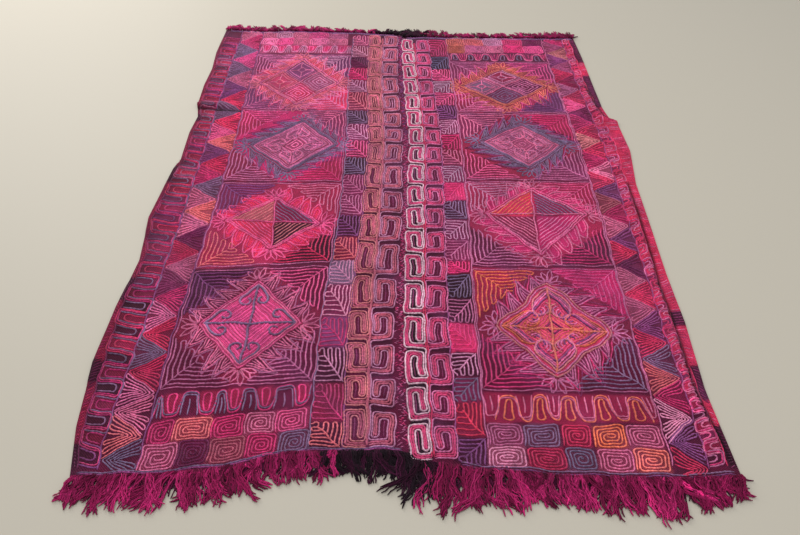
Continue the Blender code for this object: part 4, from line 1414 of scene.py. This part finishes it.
class RUG_OT_stage(bpy.types.Operator):
    """Lay the plain floor and set the lights and the camera"""

    bl_idname = "rug.stage"
    bl_label = "Set the stage"

    def execute(self, context):
        light = context.scene.rug_light
        bpy.ops.object.select_all(action="DESELECT")
        bpy.ops.mesh.primitive_grid_add(
            x_subdivisions=8, y_subdivisions=8, size=FLOOR_SIZE, location=FLOOR_PLACE)
        floor = context.object
        floor.name = "floor"
        bpy.ops.object.transform_apply(location=True, rotation=False, scale=False)
        material = bpy.data.materials.new("floor_paint")
        material.use_nodes = True
        shader = material.node_tree.nodes["Principled BSDF"]
        shader.inputs["Base Color"].default_value = (*light.floor_colour, 1.0)
        shader.inputs["Roughness"].default_value = 0.55
        floor.data.materials.append(material)
        for name, place, target, size, colour in LAMPS:
            lamp = bpy.data.lights.new(name, "AREA")
            lamp.size = size
            lamp.energy = getattr(light, name + "_power")
            lamp.color = colour
            holder = bpy.data.objects.new(name, lamp)
            holder.location = place
            holder.rotation_euler = (Vector(target) - Vector(place)).to_track_quat("-Z", "Y").to_euler()
            context.scene.collection.objects.link(holder)
        world = bpy.data.worlds.new("studio")
        world.use_nodes = True
        background = world.node_tree.nodes["Background"]
        background.inputs["Color"].default_value = SKY_COLOUR
        background.inputs["Strength"].default_value = light.sky_strength
        context.scene.world = world
        context.scene.view_settings.view_transform = "Standard"
        self.place_camera(context)
        return {"FINISHED"}

    def place_camera(self, context):
        """Stand where the photograph was taken, looking down the rug's length."""
        ahead = Vector((math.sin(CAMERA_YAW) * math.cos(CAMERA_PITCH),
                        math.cos(CAMERA_YAW) * math.cos(CAMERA_PITCH), -math.sin(CAMERA_PITCH)))
        level = Vector((math.cos(CAMERA_YAW), -math.sin(CAMERA_YAW), 0.0))
        over = level.cross(ahead)
        right = math.cos(CAMERA_ROLL) * level + math.sin(CAMERA_ROLL) * over
        above = math.cos(CAMERA_ROLL) * over - math.sin(CAMERA_ROLL) * level
        camera = bpy.data.objects.new("camera", bpy.data.cameras.new("camera"))
        camera.data.lens = LENS_MM
        camera.data.clip_start = 0.05
        turn = Matrix((right, above, -ahead)).transposed().to_4x4()
        camera.matrix_world = Matrix.Translation(CAMERA_PLACE) @ turn
        context.scene.collection.objects.link(camera)
        context.scene.camera = camera


class RUG_OT_cloth(bpy.types.Operator):
    """Weave the two panels and lay them side by side with their folds"""

    bl_idname = "rug.cloth"
    bl_label = "Lay the cloth"

    def execute(self, context):
        thickness = context.scene.rug_sizes.cloth_thickness
        left = lay_panel("cloth_left", -1, LEFT_EDGE, NEAR_LEFT, FAR_LEFT, thickness)
        right = lay_panel("cloth_right", 1, RIGHT_EDGE, NEAR_RIGHT, FAR_RIGHT, thickness)
        for panel, node in ((left, "panel_left"), (right, "panel_right")):
            finish_piece(panel, material_of("ground_wool", cloth_wool), [node])
        context.view_layer.update()
        return {"FINISHED"}


class RUG_OT_borders(bpy.types.Operator):
    """Sew the hems, the finger borders and the zigzag borders"""

    bl_idname = "rug.borders"
    bl_label = "Sew the borders"

    def execute(self, context):
        needle = Needle(11)
        for border in FINGER_BORDERS:
            sew_finger_border(needle, border)
        for hem in HEMS:
            sew_hem(needle, hem)
        finish_embroidery(needle, "finger_borders")
        needle = Needle(12)
        for column in TRIANGLES:
            sew_triangles(needle, column)
        for line in BORDER_LINES:
            sew_line(needle, *line)
        for cloth_end, start, stop, inwards in END_LINES:
            for yarn, inset in (("violet", 0.0065), ("slate", 0.0125)):
                sew_end(needle, cloth_end, start, stop, yarn, inset * inwards)
        finish_embroidery(needle, "zigzag_borders")
        return {"FINISHED"}


class RUG_OT_leaves(bpy.types.Operator):
    """Sew the two columns of leaves beside the fields"""

    bl_idname = "rug.leaves"
    bl_label = "Sew the leaves"

    def execute(self, context):
        needle = Needle(21)
        sew_leaves(needle, "leaves_left", False)
        sew_leaves(needle, "leaves_right", True)
        for column, yarn in LEAF_LINES:
            sew_line(needle, column, yarn, -1.06, 1.06)
        finish_embroidery(needle, "leaf_columns")
        return {"FINISHED"}


class RUG_OT_hooks(bpy.types.Operator):
    """Sew the columns of hooks on both sides of the seam"""

    bl_idname = "rug.hooks"
    bl_label = "Sew the hooks"

    def execute(self, context):
        needle = Needle(31)
        sew_hooks(needle, "white_hooks", WHITE_BLOCKS, False, "white", "carmine", "black")
        sew_hooks(needle, "mauve_hooks", WHITE_BLOCKS, True, "heather", "carmine", "ground")
        sew_stem(needle, "white_hooks", WHITE_BLOCKS, "crimson")
        finish_embroidery(needle, "white_hooks")
        needle = Needle(32)
        sew_hooks(needle, "rust_left", RUST_BLOCKS, False, "rust", "brown", "ground")
        sew_hooks(needle, "rust_right", RUST_BLOCKS, True, "lilac", "brown", "ground")
        sew_stem(needle, "rust_left", RUST_BLOCKS, "brown")
        finish_embroidery(needle, "rust_hooks")
        return {"FINISHED"}


class RUG_OT_seam(bpy.types.Operator):
    """Cover the seam with short slanting stitches"""

    bl_idname = "rug.seam"
    bl_label = "Sew the seam"

    def execute(self, context):
        needle = Needle(41)
        low, high = SEAM_ENDS
        y = np.linspace(low, high, 30)
        left = np.stack([line_x("rust_right", y), y], -1)
        right = np.stack([line_x("seam", y) + 0.004, y], -1)
        for outline in zip(left, right, right[1:], left[1:]):
            needle.dye(outline, "ground")
        for place in np.arange(low, high, SEAM_STEP):
            near, far = line_x("rust_right", place) + 0.004, line_x("seam", place) + 0.001
            x = needle.chance.uniform(near, far)
            slant = needle.chance.choice([-1.0, 1.0]) * needle.chance.uniform(0.0, 0.004)
            yarns = ["magenta", "mauve"] if place < FAR_SEAM else ["magenta", "violet", "violet"]
            line = [(x - 0.004, place - slant), (x + 0.004, place + slant)]
            needle.sew(line, needle.chance.choice(yarns), width=0.75, softness=0.0)
        finish_embroidery(needle, "seam_stitches")
        return {"FINISHED"}


class RUG_OT_fields(bpy.types.Operator):
    """Sew both fields: medallions, bands of tongues and rows of spiral squares"""

    bl_idname = "rug.fields"
    bl_label = "Sew the fields"

    def execute(self, context):
        for column, seed in (("field_left", 51), ("field_right", 61)):
            needle = Needle(seed)
            for medallion in MEDALLIONS:
                if medallion.column == column:
                    sew_medallion(needle, medallion)
            finish_embroidery(needle, column.replace("field", "medallions"))
            needle = Needle(seed + 1)
            for row in SQUARE_ROWS:
                if row.column == column:
                    sew_squares(needle, row)
            for band in TONGUE_BANDS:
                if band.column == column:
                    sew_tongues(needle, band)
            finish_embroidery(needle, column.replace("field", "end_bands"))
        return {"FINISHED"}


def fringe_dye(chance, x, end):
    """The dye of a lock: near-black where the two panels meet, crimson elsewhere."""
    low, high = NEAR_DARK if end < 0 else FAR_DARK
    return chance.choice(DARK_LOCKS if low < x + chance.normal(0.0, 0.02) < high else BRIGHT_LOCKS)


def strand_line(x, root_y, end, turns, stride, height):
    """A strand that sets out from its root and heads its own way at every step."""
    steps = np.stack([np.sin(turns), end * np.cos(turns)], -1) * stride
    steps[0] = (x, root_y) + CLOTH_SHIFT
    return np.column_stack([np.cumsum(steps, axis=0), height])


def sway(chance, share, least, most, slow, fast):
    """How a strand sways along its length, from side to side."""
    swing = chance.uniform(least, most)
    return swing * np.sin(share * chance.uniform(slow, fast) + chance.uniform(0.0, 6.3))


def short_strand(chance, fringe, x, sizes):
    """A short dark end that lies on the floor under the locks."""
    root_y = read(fringe.cloth_end, x) - fringe.end * SHORT_ROOT
    reach = abs(read(fringe.tips[:, [0, 1]], x) - root_y) * chance.uniform(0.35, 0.70)
    share = np.linspace(0.0, 1.0, SHORT_BENDS + 1)
    turns = read(fringe.tips[:, [0, 2]], x) + chance.normal(0.0, 0.45) + chance.normal(0.0, 0.5) * share
    height = SHORT_FOOT + SHORT_RISE * (1.0 - share)
    line = strand_line(x, root_y, fringe.end, turns, reach / SHORT_BENDS, height)
    # Under crimson locks the ends are dyed sloe, as painted shade of the locks above; under near-black locks,
    # black.
    dye = "black" if fringe_dye(chance, x, fringe.end) in DARK_LOCKS else "sloe"
    shade = colour_of(dye) * chance.uniform(0.6, 1.3)
    return line, upwards(line), shade, sizes.strand_width * chance.uniform(0.9, 1.3)


def upwards(line):
    """Straight up, at each point of a line."""
    return np.tile([0.0, 0.0, 1.0], (len(line), 1))


def lock_of(chance, fringe, x, sizes):
    """A lock of strands from one knot, which lie together and part a little at their tips."""
    bends = NEAR_BENDS if fringe.end < 0 else FAR_BENDS
    root_y = read(fringe.cloth_end, x) - fringe.end * LOCK_ROOT
    reach = abs(read(fringe.tips[:, [0, 1]], x) - root_y) * chance.uniform(0.66, 1.08)
    heading = read(fringe.tips[:, [0, 2]], x) + chance.normal(0.0, 0.30)
    share = np.linspace(0.0, 1.0, bends + 1)
    bend = chance.normal(0.0, 0.6) * share
    bend = bend + sway(chance, share, least=0.20, most=0.60, slow=4.0, fast=10.0)
    rise = chance.uniform(0.0, LOCK_RISE)
    dye = colour_of(fringe_dye(chance, x, fringe.end)) * math.exp(chance.normal(-0.06, 0.20))
    strands = []
    for _ in range(sizes.strands):
        stride = reach * chance.uniform(0.78, 1.0) / bends
        kink = sway(chance, share, least=0.20, most=0.50, slow=10.0, fast=24.0)
        turns = heading + bend + kink + chance.normal(0.0, 0.07) * (0.4 + share)
        turns = np.clip(turns, -SHARPEST_TURN, SHARPEST_TURN)
        root_x = x + chance.normal(0.0, 0.0034)
        depth = chance.uniform(0.0, LOCK_DEPTH)
        hump = depth + LOCK_HUMP * np.sin(np.pi * np.minimum(share * 2.2, 1.0))
        height = LOCK_FOOT + (rise + hump) * (1.0 - LOCK_SINK * share)
        line = strand_line(root_x, root_y, fringe.end, turns, stride, height)
        lit = 0.34 + 0.40 * (rise + depth) / (LOCK_RISE + LOCK_DEPTH) + 0.26 * share[:, None]
        shade = dye * math.exp(chance.normal(0.0, 0.26)) * lit
        strands.append((line, upwards(line), shade, sizes.strand_width * chance.uniform(0.8, 1.15)))
    knot_y = root_y + fringe.end * KNOT_PLACES + CLOTH_SHIFT[1]
    knot = np.stack(np.broadcast_arrays(x + CLOTH_SHIFT[0], knot_y, KNOT_FOOT + 0.5 * rise), -1)
    shade = dye * chance.uniform(0.6, 1.0)
    strands.append((knot, upwards(knot), shade, sizes.strand_width * chance.uniform(1.7, 2.3)))
    return strands


class RUG_OT_fringe(bpy.types.Operator):
    """Knot the fringe along the four ends of the panels"""

    bl_idname = "rug.fringe"
    bl_label = "Knot the fringe"

    def execute(self, context):
        sizes = context.scene.rug_fringe
        for fringe in FRINGES:
            chance = np.random.default_rng(fringe.seed)
            is_near = fringe.end < 0
            locks = sizes.near_locks if is_near else sizes.far_locks
            gaps = WORN_GAPS if not is_near and fringe.stop > 0.0 else []
            strands = []
            for _ in range(sizes.undergrowth if is_near else sizes.undergrowth // 2):
                x = chance.uniform(fringe.start, fringe.stop)
                if not any(low < x < high for low, high in gaps):
                    strands.append(short_strand(chance, fringe, x, sizes))
            for lock in range(locks):
                x = fringe.start + (fringe.stop - fringe.start) * (lock + chance.uniform(0.1, 0.9)) / locks
                if not any(low < x < high for low, high in gaps):
                    strands += lock_of(chance, fringe, x, sizes)
            piece = make_strands(fringe.piece, strands, chance, LOCK_HEIGHT)
            finish_piece(piece, material_of("fringe_yarn", fringe_wool), [fringe.node])
        return {"FINISHED"}


class RUG_PT_maker(bpy.types.Panel):
    """The rug's sizes and the steps that make it"""

    bl_label = "Embroidered rug"
    bl_idname = "RUG_PT_maker"
    bl_space_type = "VIEW_3D"
    bl_region_type = "UI"
    bl_category = "Rug"

    def draw(self, context):
        for group in (context.scene.rug_sizes, context.scene.rug_fringe, context.scene.rug_light):
            box = self.layout.box()
            for name in group.__annotations__:
                box.prop(group, name)
        for step in STEPS:
            self.layout.operator(step.bl_idname)


STEPS = (RUG_OT_stage, RUG_OT_cloth, RUG_OT_borders, RUG_OT_leaves, RUG_OT_hooks, RUG_OT_seam,
         RUG_OT_fields, RUG_OT_fringe)
GROUPS = {"rug_sizes": RugSizes, "rug_fringe": RugFringe, "rug_light": RugLight}


def register():
    for item in (*GROUPS.values(), *STEPS, RUG_PT_maker):
        bpy.utils.register_class(item)
    for name, group in GROUPS.items():
        setattr(bpy.types.Scene, name, bpy.props.PointerProperty(type=group))


def unregister():
    for name in GROUPS:
        delattr(bpy.types.Scene, name)
    for item in (RUG_PT_maker, *reversed(STEPS), *GROUPS.values()):
        bpy.utils.unregister_class(item)


def main():
    register()
    for step in ("stage", "cloth", "borders", "leaves", "hooks", "seam", "fields", "fringe"):
        getattr(bpy.ops.rug, step)()


if __name__ == "__main__":
    main()
